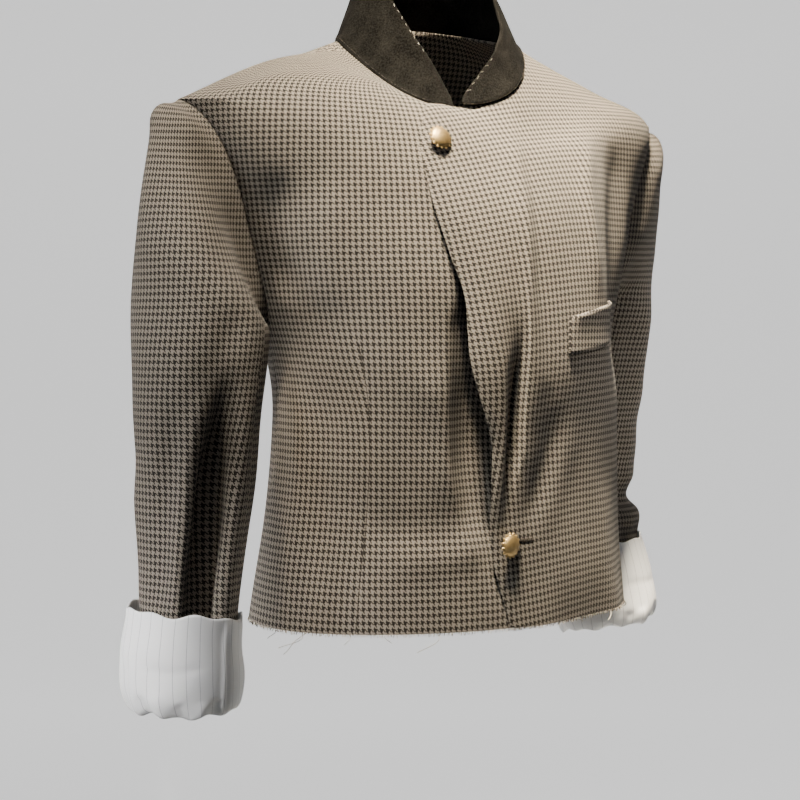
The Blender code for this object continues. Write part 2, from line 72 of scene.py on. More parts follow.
NUDGE_LEVEL = 0.001
NUDGE_TURN = 0.05
CREASE_STEPS = 8
CREASE_FADE = 3.5
SEAM_ROLL = 0.45
SEAM_ROLL_MOST = 0.6
SEAM_SINK = 0.15
EDGE_BULGE = 0.35
FLATTEN_ROUNDS = 600
FLATTEN_DONE = 1e-9
FIRM_POWER = 3
LOOSE = 0.01
UPRIGHT = np.array([0.0, 0.0, 1.0])


def smooth(t):
    t = np.clip(t, 0.0, 1.0)
    return t * t * (3.0 - 2.0 * t)


def unit(v):
    return v / np.linalg.norm(v, axis=-1, keepdims=True)


def curve_between(t, start, leave, end, arrive):
    """Cubic between two points, with the slope at each."""
    return (start * (2 * t**3 - 3 * t**2 + 1) + leave * (t**3 - 2 * t**2 + t)
            + end * (3 * t**2 - 2 * t**3) + arrive * (t**3 - t**2))


def along(stack, row, corner=None, sharp=None):
    """Smooth path through stacked points; at the corner row it may turn sharply."""
    step = np.diff(stack, axis=0)
    before = np.concatenate([step[:1], step])
    after = np.concatenate([step, step[-1:]])
    slope_in = (before + after) / 2.0
    slope_out = slope_in.copy()
    if corner is not None:
        weight = sharp[..., None]
        slope_in[corner] += (before[corner] - slope_in[corner]) * weight
        slope_out[corner] += (after[corner] - slope_out[corner]) * weight
    k = np.clip(np.floor(row).astype(int), 0, len(stack) - 2)
    t = (row - k)[..., None]
    i = np.arange(len(row))
    return curve_between(t, stack[k, i], slope_out[k, i], stack[k + 1, i], slope_in[k + 1, i])


def section(ring, turn):
    """Points of one body section at angles from centre front."""
    s, c = np.sin(turn), np.cos(turn)
    depth = np.where(c > 0, ring.side_y - ring.front_y, ring.back_y - ring.side_y)
    n = ring.square
    radius = ((np.abs(c) / depth) ** n + (np.abs(s) / ring.half_width) ** n) ** (-1.0 / n)
    dip = np.cos(turn + np.radians(ring.turn))
    drop = np.where(dip > 0, ring.front_z - ring.side_z, ring.back_z - ring.side_z)
    z = ring.side_z + drop * np.abs(dip) ** DIP_POWER
    return np.stack([ring.shift_x + radius * s, ring.side_y - radius * c, z], -1)


def paired(one, two):
    """Two sets of numbers brought to one shape."""
    return np.broadcast_arrays(np.asarray(one, float), np.asarray(two, float))


def body(level, turn):
    """Outer face of the body cloth; level counts the sections, turn is in degrees."""
    level, turn = paired(level, np.radians(turn))
    shape = level.shape
    level, turn = level.ravel(), turn.ravel()
    stack = np.stack([section(ring, turn) for ring in BODY])
    sharp = smooth((np.abs(np.sin(turn)) - CORNER_FROM) / (1.0 - CORNER_FROM))
    return along(stack, level, TIP_LEVEL, sharp).reshape(shape + (3,))


def body_normal(level, turn):
    """Unit normal of the body surface, out of the jacket."""
    level = np.clip(level, 2 * NUDGE_LEVEL, NECK_LEVEL - 2 * NUDGE_LEVEL)
    across = body(level, turn + NUDGE_TURN) - body(level, turn - NUDGE_TURN)
    up = body(level + NUDGE_LEVEL, turn) - body(level - NUDGE_LEVEL, turn)
    return unit(np.cross(across, up))


def armhole_centre(level):
    t = (level - ARMHOLE_LOW) / (TIP_LEVEL - ARMHOLE_LOW)
    return SIDE_SEAM + (SHOULDER_SEAM - SIDE_SEAM) * np.clip(t, 0.0, 1.0)


def armhole_level(turn):
    """Level of an armhole point; turn runs 0 underarm, 90 front, 180 shoulder, 270 back."""
    return ARMHOLE_MIDDLE - (TIP_LEVEL - ARMHOLE_LOW) / 2 * np.cos(np.radians(turn))


def panel_rows():
    low = np.linspace(0.0, ARMHOLE_LOW, ROWS[0] + 1)[:-1]
    arm = armhole_level(np.linspace(0.0, 180.0, ROWS[1] + 1))[:-1]
    top = np.linspace(TIP_LEVEL, NECK_LEVEL, ROWS[2] + 1)
    return np.concatenate([low, arm, top])


def panel_side(level, side, towards):
    """Outer border of a panel, in degrees: towards is -1 for a front and +1 for a back."""
    reach = ARMHOLES[side][0 if towards < 0 else 1]
    c = np.clip((ARMHOLE_MIDDLE - level) / ((TIP_LEVEL - ARMHOLE_LOW) / 2), -1.0, 1.0)
    trim = np.degrees(SEAM_GAP / 2 / np.interp(level, range(len(BODY)), [ring.half_width for ring in BODY]))
    return armhole_centre(level) + towards * (reach * np.sqrt(1.0 - c * c) + trim)


def spread(knots, counts):
    """Columns spaced evenly between neighbouring knots, each knot a value per row."""
    columns = [knots[0]]
    for left, right, count in zip(knots[:-1], knots[1:], counts):
        columns += [left + (right - left) * (i + 1) / count for i in range(count)]
    return np.stack(columns, -1)


def creases(points, surface, table):
    """Height of soft ridges and, where negative, troughs: each row is height, half width and a path."""
    rise = np.zeros(points.shape[:-1])
    for height, width, path in table:
        place = np.linspace(0.0, len(path) - 1, CREASE_STEPS * (len(path) - 1) + 1)
        stack = np.repeat(np.array(path, float)[:, None], len(place), 1)
        line = surface(*along(stack, place).T)
        run = np.concatenate([[0.0], np.cumsum(np.linalg.norm(np.diff(line, axis=0), axis=1))])
        near = np.full(rise.shape, np.inf)
        share = np.zeros(rise.shape)
        for a, b, start, end in zip(line[:-1], line[1:], run[:-1], run[1:]):
            t = np.clip((points - a) @ (b - a) / ((b - a) @ (b - a)), 0.0, 1.0)
            distance = np.linalg.norm(points - a - t[..., None] * (b - a), axis=-1)
            share = np.where(distance < near, (start + t * (end - start)) / run[-1], share)
            near = np.minimum(near, distance)
        fade = smooth(share * CREASE_FADE) * smooth((1.0 - share) * CREASE_FADE)
        rise += height * fade * np.exp(-((near / width) ** 2))
    return rise


def grid_normal(grid, wrap=False):
    """Unit normals of a grid of points, out of the right side of the cloth."""
    across = np.roll(grid, -1, 1) - np.roll(grid, 1, 1) if wrap else np.gradient(grid, axis=1)
    return unit(np.cross(across, np.gradient(grid, axis=0)))


def rolled(grid, sides, sink=SEAM_SINK):
    """The grid with its seamed borders rolled in: a line near the border, and the border sunk behind it."""
    for side in sides:
        n = grid_normal(grid)
        if side in ("low", "high"):
            grid, n = grid.swapaxes(0, 1), n.swapaxes(0, 1)
        if side in ("right", "high"):
            grid, n = grid[:, ::-1], n[:, ::-1]
        step = grid[:, 1] - grid[:, 0]
        share = np.minimum(SEAM_ROLL / np.linalg.norm(step, axis=-1, keepdims=True), SEAM_ROLL_MOST)
        line = grid[:, 0] + step * share
        sunk = grid[:, 0] - sink * n[:, 0]
        grid = np.concatenate([sunk[:, None], line[:, None], grid[:, 1:]], 1)
        if side in ("right", "high"):
            grid = grid[:, ::-1]
        if side in ("low", "high"):
            grid = grid.swapaxes(0, 1)
    return grid


def grid_faces(rows, columns, wrap=False):
    """Corner numbers of the faces of a grid, row by row."""
    index = np.arange(rows * columns).reshape(rows, columns)
    if wrap:
        index = np.concatenate([index, index[:, :1]], 1)
    faces = np.stack([index[:-1, :-1], index[:-1, 1:], index[1:, 1:], index[1:, :-1]], -1)
    return faces.reshape(-1, 4)


def flatten(grid, lay=None, swing=0.0):
    """Flat cut of a grid in metres, one place per face corner, with its grain as upright as it can lie.

    With lay "rows" the grain follows the rows instead; swing turns it, in degrees."""
    n = grid_normal(grid)
    up = unit(np.cross(n, np.gradient(grid, axis=1))) if lay == "rows" else unit(UPRIGHT - n * n[..., 2:])
    across = np.cross(up, n)
    a = np.broadcast_to(np.radians(swing), grid.shape[:2])[..., None]
    field = np.stack([across * np.cos(a) + up * np.sin(a), up * np.cos(a) - across * np.sin(a)], -2)
    steps = [np.diff(grid, axis=1), np.diff(grid, axis=0)]
    fields = [(field[:, 1:] + field[:, :-1]) / 2, (field[1:] + field[:-1]) / 2]
    firm = 1.0 if lay == "rows" else 1.0 - n[..., 2:] ** 2
    firm = np.full(grid.shape[:2] + (1,), LOOSE) + firm**FIRM_POWER
    firms = [(firm[:, 1:] + firm[:, :-1]) / 2, (firm[1:] + firm[:-1]) / 2]
    weights = [share / np.linalg.norm(step, axis=-1, keepdims=True) for step, share in zip(steps, firms)]
    wanted = [np.einsum("rck,rcjk->rcj", step, way) for step, way in zip(steps, fields)]

    def gather(right, high):
        total = np.zeros(grid.shape[:2] + (2,))
        total[:, 1:] += right
        total[:, :-1] -= right
        total[1:] += high
        total[:-1] -= high
        return total

    def stiff(x):
        return gather(weights[0] * np.diff(x, axis=1), weights[1] * np.diff(x, axis=0))

    place = np.zeros(grid.shape[:2] + (2,))
    place[:, 1:] += np.cumsum(wanted[0], 1)
    place[1:] += np.cumsum(wanted[1][:, :1], 0)
    left = gather(weights[0] * wanted[0], weights[1] * wanted[1]) - stiff(place)
    way, size = left.copy(), (left * left).sum()
    for _ in range(FLATTEN_ROUNDS):
        if size < FLATTEN_DONE:
            break
        push = stiff(way)
        share = size / (way * push).sum()
        place += share * way
        left -= share * push
        new_size = (left * left).sum()
        way, size = left + way * new_size / size, new_size
    return place.reshape(-1, 2)[grid_faces(*grid.shape[:2])] * MM


def new_piece(name, points, faces, material):
    """A smooth mesh of one material as an object at the origin; points are in metres."""
    mesh = bpy.data.meshes.new(name)
    mesh.from_pydata(points.tolist(), [], faces)
    mesh.polygons.foreach_set("use_smooth", [True] * len(mesh.polygons))
    mesh.materials.append(material)
    obj = bpy.data.objects.new(name, mesh)
    bpy.context.scene.collection.objects.link(obj)
    return obj


def shell(name, outer, thickness, uv, material, wrap=False):
    """Thin closed cloth: right side, wrong side one thickness behind it, a rounded edge between them."""
    rows, columns = outer.shape[:2]
    count = rows * columns
    thickness = np.broadcast_to(thickness, outer.shape[:2])[..., None]
    inner = outer - thickness * grid_normal(outer, wrap)
    faces = grid_faces(rows, columns, wrap)
    index = np.arange(count).reshape(rows, columns)
    flat_uv = np.zeros((count, 2))
    flat_uv[faces.ravel()] = uv.reshape(-1, 2)
    borders = [(index[0], index[1]), (index[-1, ::-1], index[-2, ::-1])]
    if not wrap:
        borders += [(index[::-1, 0], index[::-1, 1]), (index[:, -1], index[:, -2])]
    points = [outer.reshape(-1, 3), inner.reshape(-1, 3)]
    all_faces = [faces, faces[:, ::-1] + count]
    all_uv = [uv.reshape(-1, 2), uv[:, ::-1].reshape(-1, 2)]
    start = 2 * count
    for edge, inside in borders:
        away = unit(points[0][edge] - points[0][inside])
        bulge = away * thickness.reshape(-1, 1)[edge] * EDGE_BULGE
        points.append((points[0][edge] + points[1][edge]) / 2 + bulge)
        a, b = edge, start + np.arange(len(edge))
        start += len(edge)
        if wrap:
            a, b = np.append(a, a[0]), np.append(b, b[0])
        for one, two in ((a, b), (b, a + count)):
            all_faces.append(np.stack([two[:-1], two[1:], one[1:], one[:-1]], -1))
            all_uv.append(flat_uv[np.stack([a[:-1], a[1:], a[1:], a[:-1]], -1)].reshape(-1, 2))
    obj = new_piece(name, np.concatenate(points) * MM, np.concatenate(all_faces).tolist(), material)
    layer = obj.data.uv_layers.new(name="weave")
    layer.data.foreach_set("uv", np.concatenate(all_uv).ravel())
    return obj


def declare(obj, node, uv=None):
    """Ties a piece to the frame, hides the part it replaces and works out the flat size of the side that
    shows, which is not kept.
    """
    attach(obj, "root")
    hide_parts(node)
    if uv is not None:
        one, two = uv[:, 2] - uv[:, 0], uv[:, 3] - uv[:, 1]
        flat = np.abs((one[:, 0] * two[:, 1] - one[:, 1] * two[:, 0]).sum()) / 2


class Value:
    """A shader socket that can be used in sums like a number."""

    def __init__(self, tree, socket):
        self.tree = tree
        self.socket = socket

    def node(self, kind, settings, sockets, output=0):
        """Adds one node: its settings first, then what feeds its sockets; gives the chosen output."""
        made = self.tree.nodes.new(kind)
        for key, value in settings.items():
            setattr(made, key, value)
        for key, value in sockets.items():
            if isinstance(value, Value):
                self.tree.links.new(value.socket, made.inputs[key])
            else:
                made.inputs[key].default_value = value
        return Value(self.tree, made.outputs[output])

    def math(self, operation, *values):
        return self.node("ShaderNodeMath", {"operation": operation}, dict(enumerate(values)))

    def __add__(self, other):
        return self.math("ADD", self, other)

    def __radd__(self, other):
        return self.math("ADD", other, self)

    def __sub__(self, other):
        return self.math("SUBTRACT", self, other)

    def __rsub__(self, other):
        return self.math("SUBTRACT", other, self)

    def __mul__(self, other):
        return self.math("MULTIPLY", self, other)

    def __rmul__(self, other):
        return self.math("MULTIPLY", other, self)

    def __truediv__(self, other):
        return self.math("DIVIDE", self, other)

    def __rtruediv__(self, other):
        return self.math("DIVIDE", other, self)

    def __mod__(self, other):
        return self.math("FLOORED_MODULO", self, other)

    def __lt__(self, other):
        return self.math("LESS_THAN", self, other)

    def __gt__(self, other):
        return self.math("GREATER_THAN", self, other)

    def mix(self, low, high):
        """Colour between low and high by this value."""
        return self.node("ShaderNodeMix", {"data_type": "RGBA"}, {0: self, 6: low, 7: high}, 2)

    def split(self, kind):
        """First two parts of a colour or a vector; kind is the node that takes it apart."""
        first = self.node(kind, {}, {0: self})
        return first, Value(self.tree, first.socket.node.outputs[1])

    def noise(self, scale, detail, output=0):
        """Noise on the piece's own coordinates."""
        place = self.node("ShaderNodeTexCoord", {}, {}, 3)
        return self.node("ShaderNodeTexNoise", {},
                         {"Vector": place, "Scale": scale, "Detail": detail}, output)


def new_material(name):
    """A material with a Principled shader; gives it, a value to start sums from, and the shader."""
    material = bpy.data.materials.new(name)
    material.use_nodes = True
    tree = material.node_tree
    return material, Value(tree, None), tree.nodes["Principled BSDF"]


def feed(shader, **sockets):
    """Sets or links sockets of the shader by name, with _ for spaces."""
    for key, value in sockets.items():
        socket = shader.inputs[key.replace("_", " ")]
        if isinstance(value, Value):
            value.tree.links.new(value.socket, socket)
        else:
            socket.default_value = value


# Houndstooth: a 2/2 twill with warp and weft both laid four dark threads, four light threads
WARP_THREAD = 0.00055
WEFT_THREAD = 0.00065
CHECK_THREADS = 8.0
TWILL_THREADS = 4.0
YARN_WANDER = 1.5
WEFT_SHADES_FROM = 977.0
LIGHT_YARN = (0.26, 0.226, 0.188, 1.0)
# The darker colour of each yarn serves two things: its painted shade at the yarn's edges, where it dips
# between its neighbours, and its dimmer fibres.
LIGHT_YARN_SHADED_DIM = (0.16, 0.138, 0.113, 1.0)
DARK_YARN = (0.019, 0.0158, 0.0135, 1.0)
DARK_YARN_SHADED_DIM = (0.009, 0.0076, 0.0067, 1.0)


def make_houndstooth():
    material, start, shader = new_material("houndstooth_wool")
    drift, lift = start.noise(scale=90.0, detail=2.0, output=1).split("ShaderNodeSeparateColor")
    right, up = start.node("ShaderNodeUVMap", {"uv_map": "weave"}, {}).split("ShaderNodeSeparateXYZ")
    across = right / WARP_THREAD + (drift - 0.5) * YARN_WANDER
    upward = up / WEFT_THREAD + (lift - 0.5) * YARN_WANDER
    warp, weft = across.math("FLOOR", across), upward.math("FLOOR", upward)
    warp_dark = (warp % CHECK_THREADS) < CHECK_THREADS / 2
    weft_dark = (weft % CHECK_THREADS) < CHECK_THREADS / 2
    over = ((warp + weft) % TWILL_THREADS) < TWILL_THREADS / 2
    dark = over * warp_dark + (1.0 - over) * weft_dark
    off = over * (across - warp - 0.5) + (1.0 - over) * (upward - weft - 0.5)
    # Painted shade: each yarn's colour darkens towards its edges, where it dips between the threads beside
    # it. The same crown also raises the bump.
    crown = 1.0 - off * off * 4.0
    fibre = start.noise(scale=2600.0, detail=2.0)
    number = over * warp + (1.0 - over) * WEFT_SHADES_FROM
    strand = start.node("ShaderNodeCombineXYZ", {}, {"X": number, "Y": (1.0 - over) * weft})
    yarn = start.node("ShaderNodeTexWhiteNoise", {"noise_dimensions": "2D"}, {"Vector": strand})
    # shade mixes the painted shade at the yarn edges (crown) with the random tone of the fibres and of
    # single yarns.
    shade = crown * 0.45 + fibre * 0.45 + yarn * 0.25
    light = shade.mix(LIGHT_YARN_SHADED_DIM, LIGHT_YARN)
    deep = shade.mix(DARK_YARN_SHADED_DIM, DARK_YARN)
    height = crown * 0.6 + fibre * 0.4
    bump = start.node("ShaderNodeBump", {}, {"Strength": 0.35, "Distance": 0.0004, "Height": height})
    feed(shader, Base_Color=dark.mix(light, deep), Roughness=0.88, Normal=bump)
    feed(shader, Sheen_Weight=0.04, Sheen_Roughness=0.5, Specular_IOR_Level=0.2)
    return material


houndstooth = make_houndstooth()

Waves = namedtuple("Waves", "size height seed")
WAVE_COUNT = 7
WAVE_STRETCH = (0.7, 1.6)
WAVE_START = 6.28


def uneven(points, waves, side=0):
    """Gentle unevenness of soft cloth: a few seeded waves of about the given size."""
    rng = np.random.default_rng(waves.seed + side)
    rise = np.zeros(points.shape[:-1])
    for _ in range(WAVE_COUNT):
        wave = unit(rng.normal(size=3)) * rng.uniform(*WAVE_STRETCH) * 2.0 * np.pi / waves.size
        rise += np.sin(points @ wave + rng.uniform(0.0, WAVE_START))
    return rise * waves.height / WAVE_COUNT


BACK_CREASES = [
    (2.5, 16, [(3.3, 118), (2.7, 132), (2.2, 150)]),
    (-2.0, 14, [(3.1, 112), (2.5, 124), (2.0, 140)]),
    (2.0, 18, [(1.3, 108), (1.15, 135), (1.0, 165)]),
    (-2.0, 16, [(0.95, 110), (0.9, 140), (0.85, 168)]),
    (1.8, 22, [(0.7, 125), (0.3, 128), (-0.2, 130)]),
]
BACK_WAVES = Waves(90.0, 1.2, 11)
HEM_INSIDE = 0.3
hems = {}


def keep_hem(name, grid):
    """Keeps the cut edge of a panel: a line just inside it, the way down and the way out at each point."""
    out = grid_normal(grid)[0]
    hems[name] = (grid[0] - out * HEM_INSIDE, unit(grid[0] - grid[1]), out)


def make_back(side, name):
    rows = panel_rows()
    border = panel_side(rows, side, 1)
    centre = np.full_like(rows, 180.0 - np.degrees(SEAM_GAP / 2 / BACK_RADIUS))
    turn = spread([border, centre], (BACK_COLUMNS,))
    level = np.broadcast_to(rows[:, None], turn.shape)
    if side < 0:
        turn = -turn[:, ::-1]
    base = body(level, turn)
    table = [(high, wide, [(at, side * way) for at, way in path]) for high, wide, path in BACK_CREASES]
    rise = creases(base, body, table) + uneven(base, BACK_WAVES, side)
    rise *= (smooth((NECK_LEVEL - level) / NECK_FADE)
             * smooth((np.abs(turn) - border[:, None]) / BORDER_FADE))
    grid = rolled(base + rise[..., None] * body_normal(level, turn), ("left", "right"))
    grid = rolled(grid, ("low",), 0.0)
    keep_hem(name, grid)
    uv = flatten(grid)
    declare(shell(name + "_cloth", grid, CLOTH, uv, houndstooth), name, uv)


make_back(1, "back_left")
make_back(-1, "back_right")


# The right front: one panel of the same wool. It lies underneath at the closing and runs a little past the
# centre. A long dart from the chest to the hem shapes the waist, so the checks meet at an angle along it.
UNDERLAP = 14
DART = 61
DART_TOP = 2.3
DART_DEPTH = 1.3
DART_SHADOW_TOP = 2.1
DART_SPREAD = 3.0
DART_WIDTH = 0.8
DART_FADE = 0.3
DART_INTAKE = ((0.0, 1.0, 2.3, 6.0), (9.0, 13.0, 0.0, 0.0))
RIGHT_MIDDLE = -60.0
RIGHT_COLUMNS = (20, 4, 4, 16, 24)
RIGHT_WAVES = Waves(80.0, 0.9, 21)
RIDGES_END = -30.0
RIDGES_FADE = 20.0
Sag = namedtuple("Sag", "level start depth")
SAG = [
    Sag(0.12, -32, 0), Sag(0.40, -48, 7), Sag(0.62, -60, 13), Sag(0.86, -67, 17), Sag(1.10, -69, 19),
    Sag(1.50, -71, 20), Sag(1.88, -72, 19), Sag(2.18, -72, 17), Sag(2.49, -69, 13), Sag(2.80, -74, 6),
    Sag(3.30, -80, 0),
]
SAG_WIDTH = 26
SAG_POWER = 1.5
SAG_SOFT = 6.0
CLOSE_FROM = 0.168
CLOSE_RATE = 1.0
FIRST_REACH = 110.0
TURN_ROUNDS = 12
RIGHT_CREASES = [
    (3.0, 11, [(2.0, -42), (1.5, -39), (1.1, -37), (0.86, -36), (0.62, -29)]),
    (-4.0, 65, [(0.66, -16), (0.58, -50), (0.58, -92)]),
    (-1.9, 15, [(0.56, -68), (0.54, -50), (0.55, -36), (0.58, -26), (0.52, -14)]),
    (2.2, 10, [(0.40, -56), (0.38, -42), (0.40, -28), (0.46, -16)]),
    (2.6, 12, [(1.8, -86), (0.9, -84), (-0.2, -81)]),
    (-2.2, 11, [(1.9, -77), (1.0, -75), (0.1, -73)]),
    (-4.0, 15, [(3.5, -70), (2.9, -75), (2.3, -81)]),
    (2.4, 15, [(3.4, -58), (2.7, -63), (2.2, -68)]),
]


def blend(at, xs, ys):
    """Smooth curve through a short table that never overshoots it."""
    xs, ys = np.array(xs, float), np.array(ys, float)
    h, d = np.diff(xs), np.diff(ys) / np.diff(xs)
    turns = d[:-1] * d[1:] <= 0.0
    inside = np.where(turns, 0.0, 2.0 * d[:-1] * d[1:] / np.where(turns, 1.0, d[:-1] + d[1:]))
    m = np.concatenate([d[:1], inside, d[-1:]])
    k = np.clip(np.searchsorted(xs, at, side="right") - 1, 0, len(xs) - 2)
    t = np.clip((at - xs[k]) / h[k], 0.0, 1.0)
    return ((1 + 2 * t) * (1 - t) ** 2 * ys[k] + t * (1 - t) ** 2 * h[k] * m[k]
            + t * t * (3 - 2 * t) * ys[k + 1] + t * t * (t - 1) * h[k] * m[k + 1])


def turn_at(level, x):
    """Degrees round the body at which the front surface reaches x."""
    turn = np.degrees(np.arctan2(x, FIRST_REACH))
    for _ in range(TURN_ROUNDS):
        here = body(level, turn)
        turn = turn + np.degrees((x - here[..., 0]) / np.hypot(here[..., 0], here[..., 1]))
    return turn


def right_rise(base, level):
    """How far the right front lies off the body surface; below zero where it has sunk behind the lapel."""
    rise = creases(base, body, RIGHT_CREASES) + uneven(base, RIGHT_WAVES)
    rise = np.where(rise > 0.0, rise * smooth((RIDGES_END - base[..., 0]) / RIDGES_FADE), rise)
    levels, starts, depths = zip(*SAG)
    t = np.clip((base[..., 0] - blend(level, levels, starts)) / SAG_WIDTH, 0.0, 1.0)
    sag = blend(level, levels, depths) * (1.0 - (1.0 - t) ** SAG_POWER) * smooth(t * SAG_SOFT)
    return (rise - sag) * smooth((NECK_LEVEL - level) / NECK_FADE)


def closer(uv):
    """The weave of a front as it shows: from the waist up, its rows lie closer than in the plain cut."""
    high = np.maximum(uv[..., 1] - uv[..., 1].min() - CLOSE_FROM, 0.0)
    return np.stack([uv[..., 0], uv[..., 1] + CLOSE_RATE / 2 * high**2], -1)


def make_right_front():
    """Makes the panel and gives the line of its dart, where the fold's shadow is painted, with the way along
    it and out of it.
    """
    rows = panel_rows()
    edge = turn_at(rows, np.full_like(rows, float(UNDERLAP)))
    middle = turn_at(rows, np.full_like(rows, RIGHT_MIDDLE))
    dart = np.full_like(rows, -float(DART))
    knots = [-panel_side(rows, -1, -1), dart - DART_SPREAD, dart, dart + DART_SPREAD, middle, edge]
    turn = spread(knots, RIGHT_COLUMNS)
    level = np.broadcast_to(rows[:, None], turn.shape)
    base = body(level, turn)
    groove = np.exp(-(((turn + DART) / DART_WIDTH) ** 2)) * smooth((DART_TOP - level) / DART_FADE)
    rise = right_rise(base, level) * smooth((turn - knots[0][:, None]) / BORDER_FADE)
    grid = base + (rise - DART_DEPTH * groove)[..., None] * body_normal(level, turn)
    grid = rolled(rolled(grid, ("left",)), ("low",), 0.0)
    keep_hem("front_right", grid)
    column = RIGHT_COLUMNS[0] + RIGHT_COLUMNS[1] + 1
    rows = np.concatenate([rows[:1], rows])
    uv = flatten(grid).reshape(grid.shape[0] - 1, grid.shape[1] - 1, 4, 2)
    taken = blend(rows, *DART_INTAKE) * MM
    uv[:, :column, :2, 0] -= taken[:-1, None, None]
    uv[:, :column, 2:, 0] -= taken[1:, None, None]
    uv = uv.reshape(-1, 4, 2)
    cloth = shell("front_right_cloth", grid, CLOTH, closer(uv), houndstooth)
    declare(cloth, "front_right", uv)
    # Rows of the dart that get the painted shadow line of its fold.
    shadow_rows = rows < DART_SHADOW_TOP
    line = grid[shadow_rows, column]
    return line, unit(np.gradient(line, axis=0)), grid_normal(grid)[shadow_rows, column]


dart_line = make_right_front()


# The left front: laps over the right one. Its lapel is not laid open but buttoned across to the far side, so
# it rolls off the chest in a crest, sinks into a trough and stands off again in a ridge behind its edge.
LAP_GAP = 0.25
LAP_EASE = 0.1
EDGE_CLOTH = 0.7
EDGE_TAPER = 5.0
LEFT_WAVES = Waves(80.0, 0.8, 31)
LEFT_WAVES_FROM = 60.0
LEFT_WAVES_FADE = 40.0
GRAIN_SWING = ((0.0, 0.5, 1.2, 2.2, 2.8, 4.0, 6.0), (7, 5, 2, 6, 10, 12, 9))
GRAIN_FROM = -30
GRAIN_TO = 130
UNDERLAP_EASE = 4.0
Lapel = namedtuple("Lapel", "level edge edge_out ridge ridge_out trough trough_out crest crest_out")
LAPEL = [
    Lapel(0.00, -16, 2.3, -11, 2.4, -4, 2.6, 4, 2.6),
    Lapel(0.45, -34, 2.6, -28, 2.8, -20, 2.7, -10, 2.7),
    Lapel(0.75, -37, 8.0, -31, 8.5, -21, 0.5, -17, 5.0),
    Lapel(1.00, -38, 11.0, -31, 12.0, -16, -6.0, -12, 7.5),
    Lapel(1.35, -46, 12.5, -33, 13.5, -15, -8.0, -11, 8.5),
    Lapel(1.70, -54, 11.0, -36, 13.5, -15, -6.0, -11, 8.0),
    Lapel(2.00, -59, 9.5, -38, 13.0, -15, 1.0, -11, 7.5),
    Lapel(2.40, -61, 7.5, -44, 11.0, -18, 6.0, -10, 7.5),
    Lapel(2.80, -71, 5.0, -52, 8.5, -19, 5.8, -9, 7.2),
    Lapel(3.30, -79, 3.8, -66, 6.0, -19, 5.4, -7, 6.6),
    Lapel(3.80, -80, 3.0, -68, 4.0, -18, 4.6, -5, 5.8),
    Lapel(4.60, -70, 2.8, -60, 3.0, -14, 3.6, 1, 4.6),
    Lapel(6.00, -46, 2.8, -40, 2.8, -20, 2.8, 8, 2.8),
]
LAPEL_COLUMNS = (6, 12, 12, 12, 12, 34)
CREST_SIDE = 2
LAPEL_FLAT = ((1.7, 2.5, 6.0), (30, 13, 16))
LAPEL_FADE = ((4.0, 6.0), (78, 42))
LAPEL_TOP = 5.74
LAPEL_TOP_X = (-22, -2)
LEFT_CREASES = [
    (-2.0, 9, [(0.48, -4), (0.82, 5), (1.06, 10), (1.45, 14)]),
    (0.7, 11, [(0.42, 5), (0.75, 16), (1.0, 22), (1.3, 27)]),
    (4.0, 9, [(4.7, 46), (3.7, 33), (3.0, 31), (2.3, 35)]),
    (-12.5, 32, [(4.5, 69), (3.7, 57), (3.0, 54), (2.5, 56), (2.0, 61), (1.4, 67)]),
    (-4.0, 35, [(-0.1, 8), (-0.1, 32), (-0.1, 56)]),
    (-3.0, 74, [(0.60, -8), (0.55, 20), (0.52, 50), (0.5, 92)]),
    (1.6, 14, [(0.8, 46), (0.4, 48), (-0.2, 50)]),
    (-1.6, 12, [(0.9, 60), (0.4, 62), (-0.2, 64)]),
]


def lapel_column(name, level):
    return blend(level, [row.level for row in LAPEL], [getattr(row, name) for row in LAPEL])


def lapel_places(level):
    """Where the edge, ridge, trough, crest, flat and faded-out lines of the left front run (x)."""
    places = [lapel_column(name, level) for name in ("edge", "ridge", "trough", "crest")]
    for levels, reach in (LAPEL_FLAT, LAPEL_FADE):
        places.append(places[3] + np.interp(level, levels, reach))
    return places


def left_out(level, x):
    """How far the left front stands off the body surface."""
    places = lapel_places(level)
    heights = [lapel_column(name + "_out", level) for name in ("edge", "ridge", "trough", "crest")]
    heights += [np.full(level.shape, CLOTH + LAP_GAP + LAP_EASE), np.zeros(level.shape)]
    out = heights[0]
    for i in range(len(places) - 1):
        t = np.clip((x - places[i]) / (places[i + 1] - places[i]), 0.0, 1.0)
        ease = t * t if i == CREST_SIDE else smooth(t)
        out = np.where(t > 0, heights[i] + (heights[i + 1] - heights[i]) * ease, out)
    return out


def left_front_out(level, turn):
    """Height of the left front's right side off the body surface, with its creases."""
    base = body(level, turn)
    x = base[..., 0]
    waves = uneven(base, LEFT_WAVES) * smooth((x - LEFT_WAVES_FROM) / LEFT_WAVES_FADE)
    rise = (creases(base, body, LEFT_CREASES) + waves) * smooth((NECK_LEVEL - level) / NECK_FADE)
    out = left_out(level, x) + rise
    under = np.where(x < UNDERLAP + UNDERLAP_EASE, right_rise(base, level) + CLOTH + LAP_GAP, out)
    return np.maximum(out, under)


